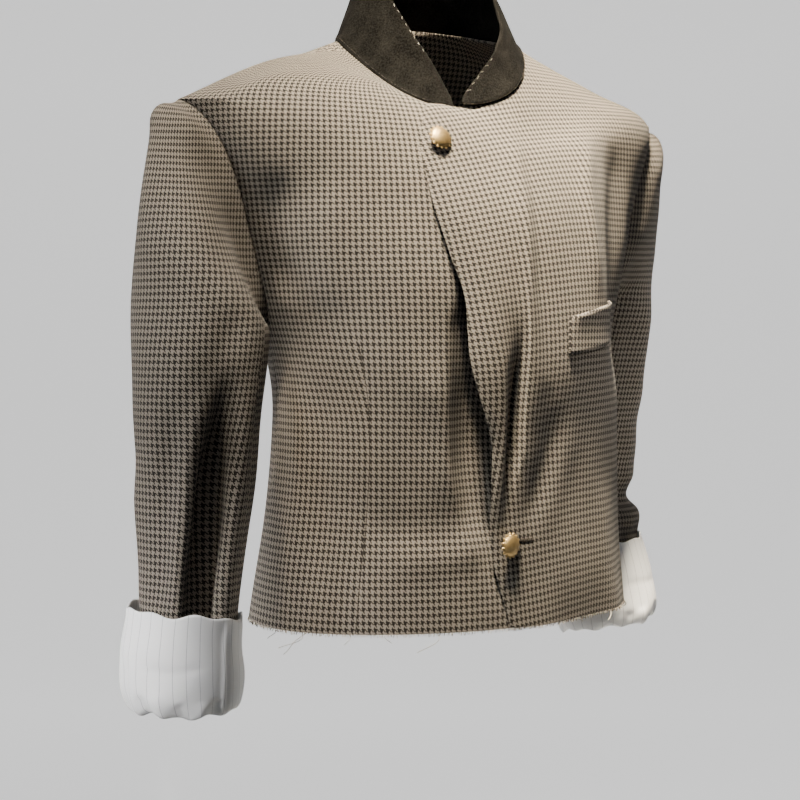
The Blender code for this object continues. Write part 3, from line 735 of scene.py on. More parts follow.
def make_left_front():
    rows = panel_rows()
    knots = [turn_at(rows, x) for x in lapel_places(rows)] + [panel_side(rows, 1, -1)]
    turn = spread(knots, LAPEL_COLUMNS)
    level = np.broadcast_to(rows[:, None], turn.shape)
    x = body(level, turn)[..., 0]
    inside = smooth((x - LAPEL_TOP_X[0]) / (LAPEL_TOP_X[1] - LAPEL_TOP_X[0]))
    share = (LAPEL_TOP + (NECK_LEVEL - LAPEL_TOP) * inside - TIP_LEVEL) / (NECK_LEVEL - TIP_LEVEL)
    level = np.where(level > TIP_LEVEL, TIP_LEVEL + (level - TIP_LEVEL) * share, level)
    base = body(level, turn)
    held = left_out(level, base[..., 0])
    free = smooth((knots[-1][:, None] - turn) / BORDER_FADE)
    out = held + (left_front_out(level, turn) - held) * free
    pressed = (CLOTH - EDGE_CLOTH) * smooth(1.0 - (base[..., 0] - base[:, :1, 0]) / EDGE_TAPER)
    grid = base + (out - pressed)[..., None] * body_normal(level, turn)
    grid = rolled(rolled(grid, ("right",)), ("left", "low"), 0.0)
    keep_hem("front_left", grid)
    level, pressed = [np.pad(values, ((1, 0), (1, 1)), "edge") for values in (level, pressed)]
    turned = 1.0 - smooth((grid[..., 0] - GRAIN_FROM) / (GRAIN_TO - GRAIN_FROM))
    uv = flatten(grid, swing=blend(level, *GRAIN_SWING) * turned)
    cloth = shell("front_left_cloth", grid, CLOTH - pressed, closer(uv), houndstooth)
    declare(cloth, "front_left", uv)


make_left_front()


# The sleeves: each a top sleeve and a narrower under sleeve of the same wool, set into the armhole with a
# padded cap and hanging in a slight bend. The cloth breaks into long folds at the front and creases at the
# elbow. Turns run round a sleeve as round its armhole: 0 underarm, 90 front, 180 outside, 270 back.
Hoop = namedtuple("Hoop", "z x y half_width half_depth rise")
SLEEVES = {
    -1: [Hoop(-225, 225, -25, 48, 56.5, 14), Hoop(-283, 236.5, -41, 45, 52, 0),
         Hoop(-354, 242, -48, 40, 45.5, 0), Hoop(-425, 249, -53, 33.5, 37.5, 0),
         Hoop(-491, 252.5, -53, 34, 38, 0)],
    1: [Hoop(-225, 200, 46, 45, 56, 0), Hoop(-290, 205, 60, 44.5, 51, 0), Hoop(-350, 211, 69, 43.5, 47, 0),
        Hoop(-384, 214, 72, 37.5, 41, 0), Hoop(-402, 217, 66, 40, 42, 2), Hoop(-430, 216, 58, 36, 38, 5),
        Hoop(-487, 217, 47, 36, 38, 7)],
}
RISE_TURN = {-1: 215, 1: 135}
MIRROR = {side: np.array([side, 1.0, 1.0]) for side in (-1, 1)}
CAP_STEPS = 4
CAP_START = 95
CAP_END = 0.95
CAP_DROP = (0.45, 0.40)
CAP_FADE = 0.6
CAP_INSET = 0.01
SEAM_STEP = 0.5
SLEEVE_ROWS = 10
SLEEVE_STEP = 2.5
SLEEVE_RADIUS = 40.0
SLEEVE_SEAM_SINK = 0.05
SLEEVE_EASE = np.array([1.15, 1.06])
SLEEVE_WAVES = Waves(60.0, 1.0, 41)
FRONT_SLEEVE_SEAM = 60
BACK_SLEEVE_SEAM = 300
Fold = namedtuple("Fold", "z_top z_low turn_top turn_low depth spread")
FOLDS = {
    -1: [Fold(-262, -430, 90, 118, 9.0, 17), Fold(-250, -420, 238, 262, 4.0, 22)],
    1: [Fold(-262, -380, 75, 100, 6.0, 18), Fold(-280, -400, 205, 250, 4.0, 22)],
}
FOLD_START = 2.0
FOLD_LAST = 1.3
FOLD_END = 4.0
SLEEVE_CREASES = {
    -1: [(2.5, 16, [(1.2, 96), (2.0, 82), (2.9, 78), (3.8, 76), (4.7, 74)]),
         (5.5, 14, [(0.9, 116), (0.75, 150), (0.75, 180), (0.8, 215), (1.0, 245)]),
         (-20.0, 10, [(4.4, 88), (5.2, 97), (5.57, 101), (5.97, 104), (6.5, 105), (7.1, 106), (8.4, 107)]),
         (4.0, 8, [(4.6, 62), (5.4, 74), (6.0, 79), (6.7, 80), (7.7, 80)]),
         (4.0, 9, [(4.6, 112), (5.4, 120), (6.0, 127), (6.8, 129), (7.9, 130)]),
         (-3.0, 10, [(4.8, 140), (5.6, 148), (6.6, 158), (7.4, 160)]),
         (-3.0, 12, [(3.2, 76), (3.8, 90), (4.5, 106), (5.2, 122)]),
         (3.0, 14, [(5.5, 200), (6.5, 205), (7.5, 200)]),
         (-3.0, 12, [(5.0, 225), (6.0, 232), (7.4, 236)]),
         (3.0, 12, [(4.5, 262), (5.6, 256), (6.8, 262)])],
    1: [(5.5, 14, [(0.9, 116), (0.75, 150), (0.75, 180), (0.8, 215), (1.0, 245)]),
        (-2.2, 8, [(6.8, 60), (7.2, 95), (7.3, 130), (7.1, 165)]),
        (2.4, 9, [(6.0, 62), (6.4, 95), (6.5, 130), (6.3, 160)]),
        (2.0, 10, [(8.2, 70), (8.3, 100), (8.3, 135), (8.1, 165)]),
        (-3.0, 9, [(8.6, 80), (8.8, 110), (8.7, 140)]),
        (-3.0, 12, [(3.2, 74), (3.9, 86), (4.8, 100), (5.8, 118)]),
        (3.0, 14, [(3.2, 110), (4.4, 118), (5.6, 132)]),
        (-3.0, 12, [(5.0, 225), (6.0, 238), (7.4, 246)])],
}


def armhole_turn(side, turn):
    """Degrees round the body of an armhole point."""
    wave = np.sin(np.radians(turn))
    reach = np.where(wave > 0, -ARMHOLES[side][0], ARMHOLES[side][1])
    return armhole_centre(armhole_level(turn)) + reach * np.abs(wave)


def seam_point(side, turn):
    """Armhole seam on the body surface, mirrored to the left side."""
    return body(armhole_level(turn), side * armhole_turn(side, turn)) * MIRROR[side]


def sleeve_stack(side, turn):
    """Sleeve sections from the armhole seam to the turned edge; turn as on the armhole."""
    a = np.radians(turn)
    level, place = armhole_level(turn), armhole_turn(side, turn)
    seam = seam_point(side, turn)
    inside = body(level + (ARMHOLE_MIDDLE - level) * CAP_INSET,
                  side * (place + (SIDE_SEAM - place) * CAP_INSET))
    across = inside * MIRROR[side] - seam
    tangent = unit(seam_point(side, turn + SEAM_STEP) - seam_point(side, turn - SEAM_STEP))
    across -= tangent * np.sum(across * tangent, -1, keepdims=True)
    seam = seam + SEAM_GAP * unit(across)
    flat = np.zeros_like(a)
    heading = unit(np.stack([np.ones_like(a), flat, -CAP_DROP[0] - CAP_DROP[1] * np.cos(a)], -1))
    rings = []
    for hoop in SLEEVES[side]:
        radial = np.stack([-hoop.half_width * np.cos(a), -hoop.half_depth * np.sin(a), flat], -1)
        shrink = np.zeros_like(a)
        for fold in FOLDS[side]:
            t = (hoop.z - fold.z_top) / (fold.z_low - fold.z_top)
            place = fold.turn_top + (fold.turn_low - fold.turn_top) * np.clip(t, 0.0, 1.0)
            strength = smooth(t * FOLD_START) * smooth((FOLD_LAST - t) * FOLD_END)
            shrink += fold.depth * strength * np.exp(-(((turn - place) / fold.spread) ** 2))
        length = np.linalg.norm(radial, axis=-1, keepdims=True)
        ring = np.array([hoop.x, hoop.y, hoop.z]) + radial * (1.0 - shrink[..., None] / length)
        ring[..., 2] += hoop.rise * np.cos(a - np.radians(RISE_TURN[side]))
        rings.append(ring)
    span = np.linalg.norm(rings[0] - seam, axis=-1, keepdims=True)
    down = -UPRIGHT * span * CAP_END
    out = heading * np.minimum(CAP_START, span)
    cap = [curve_between(i / CAP_STEPS, seam, out, rings[0], down) for i in range(CAP_STEPS)]
    return np.stack(cap + rings)


def make_sleeve(side, suffix):
    count = CAP_STEPS + len(SLEEVES[side])

    def surface(row, turn):
        row, turn = paired(row, turn)
        points = along(sleeve_stack(side, turn.ravel() % 360.0), row.ravel()).reshape(row.shape + (3,))
        return points * MIRROR[side]

    rows = np.linspace(0.0, count - 1, (count - 1) * SLEEVE_ROWS + 1)[::-1]
    trim = np.degrees(SEAM_GAP / 2 / SLEEVE_RADIUS)
    for label, start, end in (("sleeve_top_", FRONT_SLEEVE_SEAM, BACK_SLEEVE_SEAM),
                              ("sleeve_under_", BACK_SLEEVE_SEAM, FRONT_SLEEVE_SEAM + 360)):
        turns = np.clip(np.arange(start, end + 0.1, SLEEVE_STEP), start + trim, end - trim)[::side]
        row, turn = np.meshgrid(rows, turns, indexing="ij")
        base = surface(row, turn)
        rise = creases(base, surface, SLEEVE_CREASES[side]) + uneven(base, SLEEVE_WAVES, side)
        rise *= smooth(row / CAP_FADE) * smooth(count - 1 - row)
        grid = base + rise[..., None] * grid_normal(base)
        grid = rolled(rolled(grid, ("left", "right"), SLEEVE_SEAM_SINK), ("high",))
        uv = flatten(grid)
        name = label + suffix
        declare(shell(name + "_cloth", grid, CLOTH, uv * SLEEVE_EASE, houndstooth), name, uv)


make_sleeve(1, "left")
make_sleeve(-1, "right")


# The cuffs: the sleeve ends turned back on themselves, so the striped sleeve lining shows. The turn is a
# soft rolled edge that puckers, and the free edge stands off the sleeve.
CUFFS = {
    -1: [Hoop(-487, 252.5, -53, 28.6, 32.6, 0), Hoop(-494, 252.5, -53, 28.8, 32.8, 0),
         Hoop(-500, 252.5, -52.5, 31.0, 35.5, 0), Hoop(-502.5, 252.8, -51.5, 35.5, 39.0, -1),
         Hoop(-499, 253, -50, 40.5, 43.5, -1), Hoop(-487, 254, -49, 43.6, 46.8, 0),
         Hoop(-466, 254.5, -49, 43.2, 46.6, 1), Hoop(-447, 253.5, -49, 41.6, 45.0, 2),
         Hoop(-432.5, 252.5, -49.5, 40.4, 44.0, 3.4)],
    1: [Hoop(-483, 217, 47, 30.6, 32.6, 7), Hoop(-490, 217, 47, 30.8, 32.8, 7),
        Hoop(-496, 217.5, 46.5, 33.0, 35.5, 7), Hoop(-498.5, 218, 45.5, 37.0, 39.5, 7),
        Hoop(-495, 218.5, 45.5, 41.0, 43.5, 7), Hoop(-484, 218.5, 47, 43.5, 46.0, 7),
        Hoop(-461, 217, 51, 42.6, 45.0, 6), Hoop(-442, 216, 55, 41.2, 43.4, 6),
        Hoop(-428, 215.5, 58, 39.4, 41.4, 6)],
}
CUFF_CLOTH = 1.6
CUFF_GIRTH = 0.275
CUFF_COLUMNS = 200
CUFF_ROWS = 8
CUFF_WAVES = Waves(34.0, 1.1, 51)
CUFF_TURN = 3.0
CUFF_TURN_FADE = 1.5
Pucker = namedtuple("Pucker", "row reach height waves")
CUFF_PUCKERS = [
    Pucker(3.3, 1.2, 3.0, [(3, 0.4), (6, 2.0), (11, 4.1)]),
    Pucker(8.0, 1.0, 3.4, [(2, 2.6), (5, 0.9), (9, 3.3)]),
]
CUFF_CREASES = {
    -1: [(-1.8, 1.7, [(8.4, 66), (6.8, 70), (5.2, 73), (3.2, 77)]),
         (1.4, 2.4, [(8.4, 71), (6.8, 75), (5.2, 78), (3.2, 82)]),
         (-1.0, 2.4, [(5.75, 172), (5.85, 150), (5.80, 130), (5.95, 104), (6.0, 84)]),
         (-2.2, 5, [(2.8, 158), (3.8, 160), (5.0, 166)]), (2.0, 6, [(2.6, 140), (3.8, 142), (5.2, 147)]),
         (-2.0, 4, [(2.8, 120), (3.7, 121), (4.7, 125)]), (1.6, 5, [(2.8, 104), (3.8, 103), (4.8, 100)]),
         (-1.8, 5, [(2.8, 90), (3.8, 88), (4.9, 86)]), (-2.4, 7, [(3.0, 196), (4.4, 190), (6.2, 182)])],
    1: [(-1.0, 1.2, [(8.4, 200), (6.8, 202), (5.2, 204), (3.2, 206)]),
        (-1.0, 2.4, [(5.8, 60), (5.9, 90), (5.8, 120), (6.0, 150)]),
        (-2.0, 5, [(2.8, 70), (3.8, 72), (5.0, 78)]), (1.8, 6, [(2.8, 95), (3.8, 97), (5.0, 92)]),
        (-2.0, 5, [(2.8, 120), (3.8, 122), (5.0, 126)])],
}
STRIPE_SPACE = 0.0095
STRIPE_WIDTH = 0.0005
LINING = (0.90, 0.905, 0.92, 1.0)
STRIPE = (0.46, 0.46, 0.49, 1.0)


def make_lining():
    material, start, shader = new_material("striped_lining")
    across, _ = start.node("ShaderNodeUVMap", {"uv_map": "weave"}, {}).split("ShaderNodeSeparateXYZ")
    fibre = start.noise(scale=900.0, detail=3.0)
    from_stripe = across.math("ABSOLUTE", (across % STRIPE_SPACE) - STRIPE_SPACE / 2)
    stripe = (from_stripe < STRIPE_WIDTH / 2) * (0.45 + fibre * 0.6)
    bump = start.node("ShaderNodeBump", {}, {"Strength": 0.15, "Distance": 0.0003, "Height": fibre})
    feed(shader, Base_Color=stripe.mix(LINING, STRIPE), Roughness=0.55, Normal=bump, Sheen_Weight=0.1)
    return material


lining = make_lining()


def make_cuff(side, suffix):
    hoops = CUFFS[side]

    def surface(row, turn):
        row, turn = paired(row, turn)
        a = np.radians(turn.ravel())
        rings = []
        for hoop in hoops:
            rise = hoop.rise * np.cos(a - np.radians(RISE_TURN[side]))
            rings.append(np.stack([side * (hoop.x - hoop.half_width * np.cos(a)),
                                   hoop.y - hoop.half_depth * np.sin(a), hoop.z + rise], -1))
        return along(np.stack(rings), row.ravel()).reshape(row.shape + (3,))

    rows = np.linspace(0.0, len(hoops) - 1, (len(hoops) - 1) * CUFF_ROWS + 1)
    turns = np.arange(CUFF_COLUMNS)[::side] * 360.0 / CUFF_COLUMNS
    row, turn = np.meshgrid(rows, turns, indexing="ij")
    base = surface(row, turn)
    rise = uneven(base, CUFF_WAVES, side) * smooth((row - CUFF_TURN) / CUFF_TURN_FADE)
    rise += creases(base, surface, CUFF_CREASES[side])
    grid = base + rise[..., None] * grid_normal(base, True)
    for pucker in CUFF_PUCKERS:
        waves = [np.sin(np.radians(count * turn) + side * phase) for count, phase in pucker.waves]
        near = np.exp(-(((row - pucker.row) / pucker.reach) ** 2))
        grid[..., 2] += pucker.height * sum(waves) / len(waves) * near
    step = np.linalg.norm(np.diff(base, axis=0), axis=-1)
    high = np.concatenate([np.zeros((1, CUFF_COLUMNS)), np.cumsum(step, 0)]) * MM
    around = np.broadcast_to(np.arange(CUFF_COLUMNS) * CUFF_GIRTH / CUFF_COLUMNS, high.shape)
    uv = np.stack([around.ravel(), high.ravel()], -1)[grid_faces(*high.shape, True)]
    seam = uv[:, 1, 0] < uv[:, 0, 0]
    uv[seam, 1:3, 0] += CUFF_GIRTH
    name = "cuff_" + suffix
    declare(shell(name + "_cloth", grid, CUFF_CLOTH, uv, lining, True), name, uv)


make_cuff(1, "left")
make_cuff(-1, "right")


# The collar: only the undercollar, a strip of dark brown melton felt with raw edges, turned up round the
# neck. It is sewn to the neckline on the outside, and its two ends run down to points at the front.
FELT = 2.4
Stand = namedtuple("Stand", "turn height")
COLLAR = [
    Stand(-21, 4), Stand(-25, 16), Stand(-31, 29), Stand(-41, 41), Stand(-60, 54), Stand(-90, 60),
    Stand(-180, 62), Stand(-270, 60), Stand(-315, 46), Stand(-338, 36), Stand(-357, 26), Stand(-367, 16),
    Stand(-375, 4),
]
COLLAR_COLUMNS = 180
COLLAR_ROWS = 18
COLLAR_LAP = 0.11
COLLAR_GAP = 0.5
COLLAR_EDGE_SUNK = 2.2
COLLAR_EDGE_TAPER = (1.0, 0.45, 0.1, 0.0)
COLLAR_LEAN_RIGHT = 20
COLLAR_LEAN_LEFT = 24
COLLAR_FLAT_BELOW = 30.0
COLLAR_WAVES = Waves(42.0, 1.6, 62)
CRUMPLE_WAVES = Waves(17.0, 3.2, 61)
CRUMPLE_TURN = -333.0
CRUMPLE_REACH = 11.0
FELT_DARK = (0.003, 0.0028, 0.0025, 1.0)
FELT_LIGHT = (0.0145, 0.0136, 0.0123, 1.0)


def make_felt():
    material, start, shader = new_material("melton_felt")
    cloud = start.noise(scale=60.0, detail=5.0)
    fibre = start.noise(scale=750.0, detail=4.0)
    shade = (cloud - 0.5) * 1.4 + (fibre - 0.5) * 2.4 + 0.4
    height = fibre + cloud * 0.6
    bump = start.node("ShaderNodeBump", {}, {"Strength": 0.7, "Distance": 0.0006, "Height": height})
    feed(shader, Base_Color=shade.mix(FELT_DARK, FELT_LIGHT), Roughness=0.95, Normal=bump)
    feed(shader, Sheen_Weight=0.005, Sheen_Roughness=0.6, Specular_IOR_Level=0.01)
    return material


felt = make_felt()


def make_collar():
    """Makes the collar and gives the grid of its outer face."""
    turns = np.linspace(COLLAR[0].turn, COLLAR[-1].turn, COLLAR_COLUMNS + 1)
    height = blend(-turns, [-stand.turn for stand in COLLAR], [stand.height for stand in COLLAR])
    left = smooth((-turns - 180.0) / 90.0)
    lean = np.radians(COLLAR_LEAN_RIGHT + (COLLAR_LEAN_LEFT - COLLAR_LEAN_RIGHT) * left)[:, None]
    a = np.radians(turns)
    inward = np.stack([-np.sin(a), np.cos(a), np.zeros_like(a)], -1)
    rise = UPRIGHT * np.cos(lean) + inward * np.sin(lean)
    outer = []
    lap_levels = np.linspace(NECK_LEVEL - COLLAR_LAP, NECK_LEVEL, len(COLLAR_EDGE_TAPER))
    for level, sunk in zip(lap_levels, COLLAR_EDGE_TAPER):
        levels = np.full_like(turns, level)
        base = body(levels, turns)
        under = np.where(left > 0, left_out(levels, base[:, 0]), 0.0)
        out = COLLAR_GAP + FELT - COLLAR_EDGE_SUNK * sunk + under
        outer.append(base + out[:, None] * body_normal(levels, turns))
    seam = outer[-1]
    for i in range(COLLAR_ROWS):
        outer.append(seam + rise * (height * (i + 1) / COLLAR_ROWS)[:, None])
    grid = np.stack(outer)[:, ::-1]
    share = np.linspace(0.0, 1.0, len(grid))[:, None] ** 2
    near = np.exp(-(((turns[::-1] - CRUMPLE_TURN) / CRUMPLE_REACH) ** 2))
    crumple = uneven(grid, CRUMPLE_WAVES) * near + uneven(grid, COLLAR_WAVES)
    crumple = crumple * share * smooth(height[::-1] / COLLAR_FLAT_BELOW)
    grid = grid + crumple[..., None] * grid_normal(grid)
    uv = flatten(grid, "rows")
    declare(shell("collar_felt", grid, FELT, uv, felt), "collar", uv)
    return grid


collar_grid = make_collar()


# The breast pocket welt: a narrow strip of the same wool, laid on the left front and sewn down at both ends,
# with its upper edge free.
WELT_TURN = (16, 46)
WELT_STOPS = (0.0, 0.6, 1.0)
WELT_LOW = (1.96, 2.005, 2.06)
WELT_HIGH = (2.27, 2.345, 2.39)
WELT_LIP = 2.6
WELT_LIP_POWER = 3
WELT_ENDS = (6.0, 9.0)
WELT_COLUMNS = 40
WELT_ROWS = 10


def make_welt():
    share = np.linspace(0.0, 1.0, WELT_COLUMNS + 1)
    low, high = [blend(share, WELT_STOPS, levels) for levels in (WELT_LOW, WELT_HIGH)]
    level = spread([low, high], (WELT_ROWS,)).T
    turn = np.broadcast_to(WELT_TURN[0] + (WELT_TURN[1] - WELT_TURN[0]) * share, level.shape)
    base = body(level, turn)
    up = np.linspace(0.0, 1.0, WELT_ROWS + 1)[:, None]
    lip = WELT_LIP * up**WELT_LIP_POWER
    lip = lip * smooth(share * WELT_ENDS[0]) * smooth((1.0 - share) * WELT_ENDS[1])
    out = left_front_out(level, turn) + LAP_GAP + CLOTH + lip
    grid = base + out[..., None] * body_normal(level, turn)
    uv = flatten(grid)
    cloth = shell("breast_welt_cloth", grid, CLOTH, uv, houndstooth)
    declare(cloth, "breast_welt", uv)


make_welt()


# The buttons: two pressed brass domes with a beaded rim, each on a short shank that is sewn to the left
# front with thread. Shank, rim and dome are one profile swept round, with the rim notched between its beads.
Button = namedtuple("Button", "name level turn tilt")
BUTTONS = [Button("button_top", 4.16, -31.5, 8), Button("button_bottom", 0.45, -11.3, 14)]
SHANK_LIFT = 0.2
BUTTON_BEADS = 15
BEAD_DEPTH = 1.6
BEAD_STEPS = 10
Turned = namedtuple("Turned", "radius height beaded")
BUTTON_PROFILE = [
    Turned(2.0, -0.3, 0), Turned(2.6, 2.2, 0), Turned(8.0, 2.6, 0), Turned(9.6, 2.9, 1),
    Turned(10.0, 3.5, 1), Turned(9.6, 4.1, 1), Turned(8.3, 4.2, 0.4), Turned(7.9, 4.6, 0),
    Turned(6.2, 6.0, 0), Turned(3.4, 7.1, 0), Turned(0.0, 7.5, 0),
]
PROFILE_STEPS = 4
DOME_TIP = 0.02
BRASS = (0.62, 0.455, 0.21, 1.0)
BRASS_DARK = (0.32, 0.22, 0.10, 1.0)


def make_brass():
    material, start, shader = new_material("brass")
    tarnish = start.noise(scale=350.0, detail=4.0)
    feed(shader, Base_Color=tarnish.mix(BRASS, BRASS_DARK), Metallic=1.0, Roughness=0.42 + tarnish * 0.22)
    return material


brass = make_brass()


def make_button(button):
    level, turn = np.array([button.level]), np.array([button.turn])
    n = body_normal(level, turn)[0]
    start = body(level, turn)[0] + n * (left_front_out(level, turn)[0] + LAP_GAP + SHANK_LIFT)
    tilt = np.radians(button.tilt)
    up = unit(UPRIGHT - n * n[2])
    n = n * np.cos(tilt) + np.cross(up, n) * np.sin(tilt)
    a = np.arange(BUTTON_BEADS * BEAD_STEPS) * 2.0 * np.pi / (BUTTON_BEADS * BEAD_STEPS)
    circle = np.cos(a)[:, None] * np.cross(up, n) + np.sin(a)[:, None] * up
    last = len(BUTTON_PROFILE) - 1
    place = np.linspace(0.0, last, PROFILE_STEPS * last + 1)
    rings = []
    columns = [np.interp(place, range(last + 1), column) for column in zip(*BUTTON_PROFILE)]
    for radius, high, beaded in zip(*columns):
        notch = beaded * BEAD_DEPTH * (0.5 - 0.5 * np.cos(BUTTON_BEADS * a))
        rings.append(start + high * n + np.maximum(radius - notch, DOME_TIP)[:, None] * circle)
    faces = grid_faces(len(rings), len(a), True).tolist() + [list(range(len(a)))[::-1]]
    obj = new_piece(button.name + "_brass", np.concatenate(rings) * MM, faces, brass)
    declare(obj, button.name)


for entry in BUTTONS:
    make_button(entry)


# The raw hem: the jacket was cut off at the waist and never turned up, so the ends of its pale and dark wool
# yarns stand out along the edge and a few long ones hang from it. They are held by nothing but the weave.
Stitch = namedtuple("Stitch", "spacing length radius centre arch sway seed")
Thread = namedtuple("Thread", "radius step")
HEM_ENDS = Stitch(0.0011, 0.0026, 0.00027, 0.1, 0.0004, 0.4, 3)
HEM_THREAD = Thread(0.00026, 0.0008)
THREAD_SIDES = 5
BEND_STEPS = 4
TWIST_SHARE = 3.0
LENGTHS = (0.6, 1.35)
Stray = namedtuple("Stray", "panel turn length aside out curl")
STRAYS = [
    Stray("front_right", -72, 15, -13, 3, 4), Stray("front_right", -70, 19, -19, 5, -3),
    Stray("front_right", -80, 9, -5, 3, 2), Stray("front_right", -59, 8, -2, 2, 1),
    Stray("front_right", -34, 14, -13, 4, 3), Stray("front_right", -49, 6, 4, 2, -1),
    Stray("front_left", 24, 5, 9, 3, 2), Stray("front_left", 46, 7, -3, 2, 1),
    Stray("front_left", 70, 12, 8, 3, -3), Stray("back_left", 120, 13, -9, 3, 3),
    Stray("back_left", 150, 7, 5, 2, 1), Stray("back_right", -165, 16, 10, 3, -4),
    Stray("back_right", -140, 8, -6, 2, 2), Stray("back_right", -112, 11, -8, 3, 2),
]
STRAY_POINTS = 9
STRAY_DRIFT = 1.6
STRAY_CURL = 4.5
STRAY_BOW = 2.4
Yarn = namedtuple("Yarn", "name one two scale")
RAW_YARN = Yarn("raw_yarn", (0.62, 0.55, 0.45, 1.0), (0.06, 0.05, 0.04, 1.0), 480.0)
PALE_YARN = Yarn("pale_yarn", (0.30, 0.27, 0.22, 1.0), (0.55, 0.50, 0.42, 1.0), 300.0)


def make_yarn(yarn):
    material, start, shader = new_material(yarn.name)
    fibre = start.noise(scale=yarn.scale, detail=1.0)
    pick = start.node("ShaderNodeMapRange", {}, {"Value": fibre, "From Min": 0.44, "From Max": 0.56})
    feed(shader, Base_Color=pick.mix(yarn.one, yarn.two), Roughness=0.9, Specular_IOR_Level=0.1)
    return material


def new_tree(name, sizes):
    """A Geometry Nodes group with lines in, meshes out and an input per size; gives its inputs too."""
    tree = bpy.data.node_groups.new(name, "GeometryNodeTree")
    kinds = {"lines": "Geometry"}
    kinds.update((size, "Int" if size == "seed" else "Float") for size in sizes._fields)
    kinds["yarn"] = "Material"
    for key, kind in kinds.items():
        tree.interface.new_socket(key, in_out="INPUT", socket_type="NodeSocket" + kind)
    tree.interface.new_socket("threads", in_out="OUTPUT", socket_type="NodeSocketGeometry")
    entry = tree.nodes.new("NodeGroupInput")
    return tree, {socket.name: Value(tree, socket) for socket in entry.outputs}


def round_thread(curve, radius):
    """The mesh of a round thread along a curve."""
    ring = curve.node("GeometryNodeCurvePrimitiveCircle", {}, {"Resolution": THREAD_SIDES, "Radius": radius})
    return curve.node("GeometryNodeCurveToMesh", {},
                      {"Curve": curve, "Profile Curve": ring, "Fill Caps": True})


def close_tree(geometry, yarn):
    """Ends a tree: instances made real, material set, geometry given out."""
    real = geometry.node("GeometryNodeRealizeInstances", {}, {"Geometry": geometry})
    done = real.node("GeometryNodeSetMaterial", {}, {"Geometry": real, "Material": yarn})
    leave = done.tree.nodes.new("NodeGroupOutput")
    done.tree.links.new(done.socket, leave.inputs["threads"])


def stitch_row_tree():
    """Short bent threads set along lines: each lies along the point's way and arches to its out."""
    tree, given = new_tree("stitch_row", Stitch)
    length, centre, sway = given["length"], given["centre"], given["sway"]
    add = length.node
    curve = add("GeometryNodeMeshToCurve", {}, {"Mesh": given["lines"]})
    places = add("GeometryNodeResampleCurve", {"mode": "LENGTH"},
                 {"Curve": curve, "Length": given["spacing"]})
    low = add("ShaderNodeCombineXYZ", {}, {"Z": length * centre * -1.0})
    bend = add("ShaderNodeCombineXYZ", {}, {"X": given["arch"], "Z": length * (0.5 - centre)})
    high = add("ShaderNodeCombineXYZ", {}, {"Z": length * (1.0 - centre)})
    line = add("GeometryNodeCurveQuadraticBezier", {},
               {"Resolution": BEND_STEPS, "Start": low, "Middle": bend, "End": high})
    way, out = [add("GeometryNodeInputNamedAttribute", {"data_type": "FLOAT_VECTOR"}, {"Name": name})
                for name in ("way", "out")]
    turn = add("FunctionNodeAlignRotationToVector", {"axis": "Z"}, {"Vector": way})
    turn = add("FunctionNodeAlignRotationToVector", {"axis": "X", "pivot_axis": "Z"},
               {"Rotation": turn, "Vector": out})
    most = add("ShaderNodeCombineXYZ", {}, {"X": sway, "Y": sway, "Z": sway * TWIST_SHARE})
    least = add("ShaderNodeVectorMath", {"operation": "SCALE"}, {0: most, "Scale": -1.0})
    swing = add("FunctionNodeRandomValue", {"data_type": "FLOAT_VECTOR"},
                {0: least, 1: most, "Seed": given["seed"]})
    swing = add("FunctionNodeEulerToRotation", {}, {"Euler": swing})
    turn = add("FunctionNodeRotateRotation", {"rotation_space": "LOCAL"},
               {"Rotation": turn, "Rotate By": swing})
    size = add("FunctionNodeRandomValue", {"data_type": "FLOAT"},
               {2: LENGTHS[0], 3: LENGTHS[1], "Seed": given["seed"] + 1}, 1)
    size = add("ShaderNodeCombineXYZ", {}, {"X": 1.0, "Y": 1.0, "Z": size})
    thread = round_thread(line, given["radius"])
    set_out = add("GeometryNodeInstanceOnPoints", {},
                  {"Points": places, "Instance": thread, "Rotation": turn, "Scale": size})
    close_tree(set_out, given["yarn"])
    return tree


def long_thread_tree():
    """Long threads: each line of points becomes one smooth round thread."""
    tree, given = new_tree("long_thread", Thread)
    add = given["radius"].node
    curve = add("GeometryNodeMeshToCurve", {}, {"Mesh": given["lines"]})
    curve = add("GeometryNodeCurveSplineType", {"spline_type": "CATMULL_ROM"}, {"Curve": curve})
    curve = add("GeometryNodeResampleCurve", {"mode": "LENGTH"}, {"Curve": curve, "Length": given["step"]})
    close_tree(round_thread(curve, given["radius"]), given["yarn"])
    return tree


trees = {Stitch: stitch_row_tree(), Thread: long_thread_tree()}


def sew(name, lines, sizes, yarn):
    """Lays stitches or threads on lines of (points, way, out) and ties the plain mesh to the frame."""
    points, edges = [], []
    for line, _, _ in lines:
        edges += [(len(points) + i, len(points) + i + 1) for i in range(len(line) - 1)]
        points += (line * MM).tolist()
    mesh = bpy.data.meshes.new(name)
    mesh.from_pydata(points, edges, [])
    for key, part in (("way", 1), ("out", 2)):
        data = np.concatenate([line[part] for line in lines]).ravel()
        mesh.attributes.new(key, "FLOAT_VECTOR", "POINT").data.foreach_set("vector", data)
    obj = bpy.data.objects.new(name, mesh)
    bpy.context.scene.collection.objects.link(obj)
    modifier = obj.modifiers.new(name, "NODES")
    modifier.node_group = trees[type(sizes)]
    for item in modifier.node_group.interface.items_tree:
        if item.in_out == "INPUT" and item.name in sizes._fields:
            modifier[item.identifier] = getattr(sizes, item.name)
        elif item.name == "yarn":
            modifier[item.identifier] = yarn
    made = bpy.data.meshes.new_from_object(obj.evaluated_get(bpy.context.evaluated_depsgraph_get()))
    obj.modifiers.clear()
    obj.data = made
    made.name = name
    made.polygons.foreach_set("use_smooth", [True] * len(made.polygons))
    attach(obj, "root")


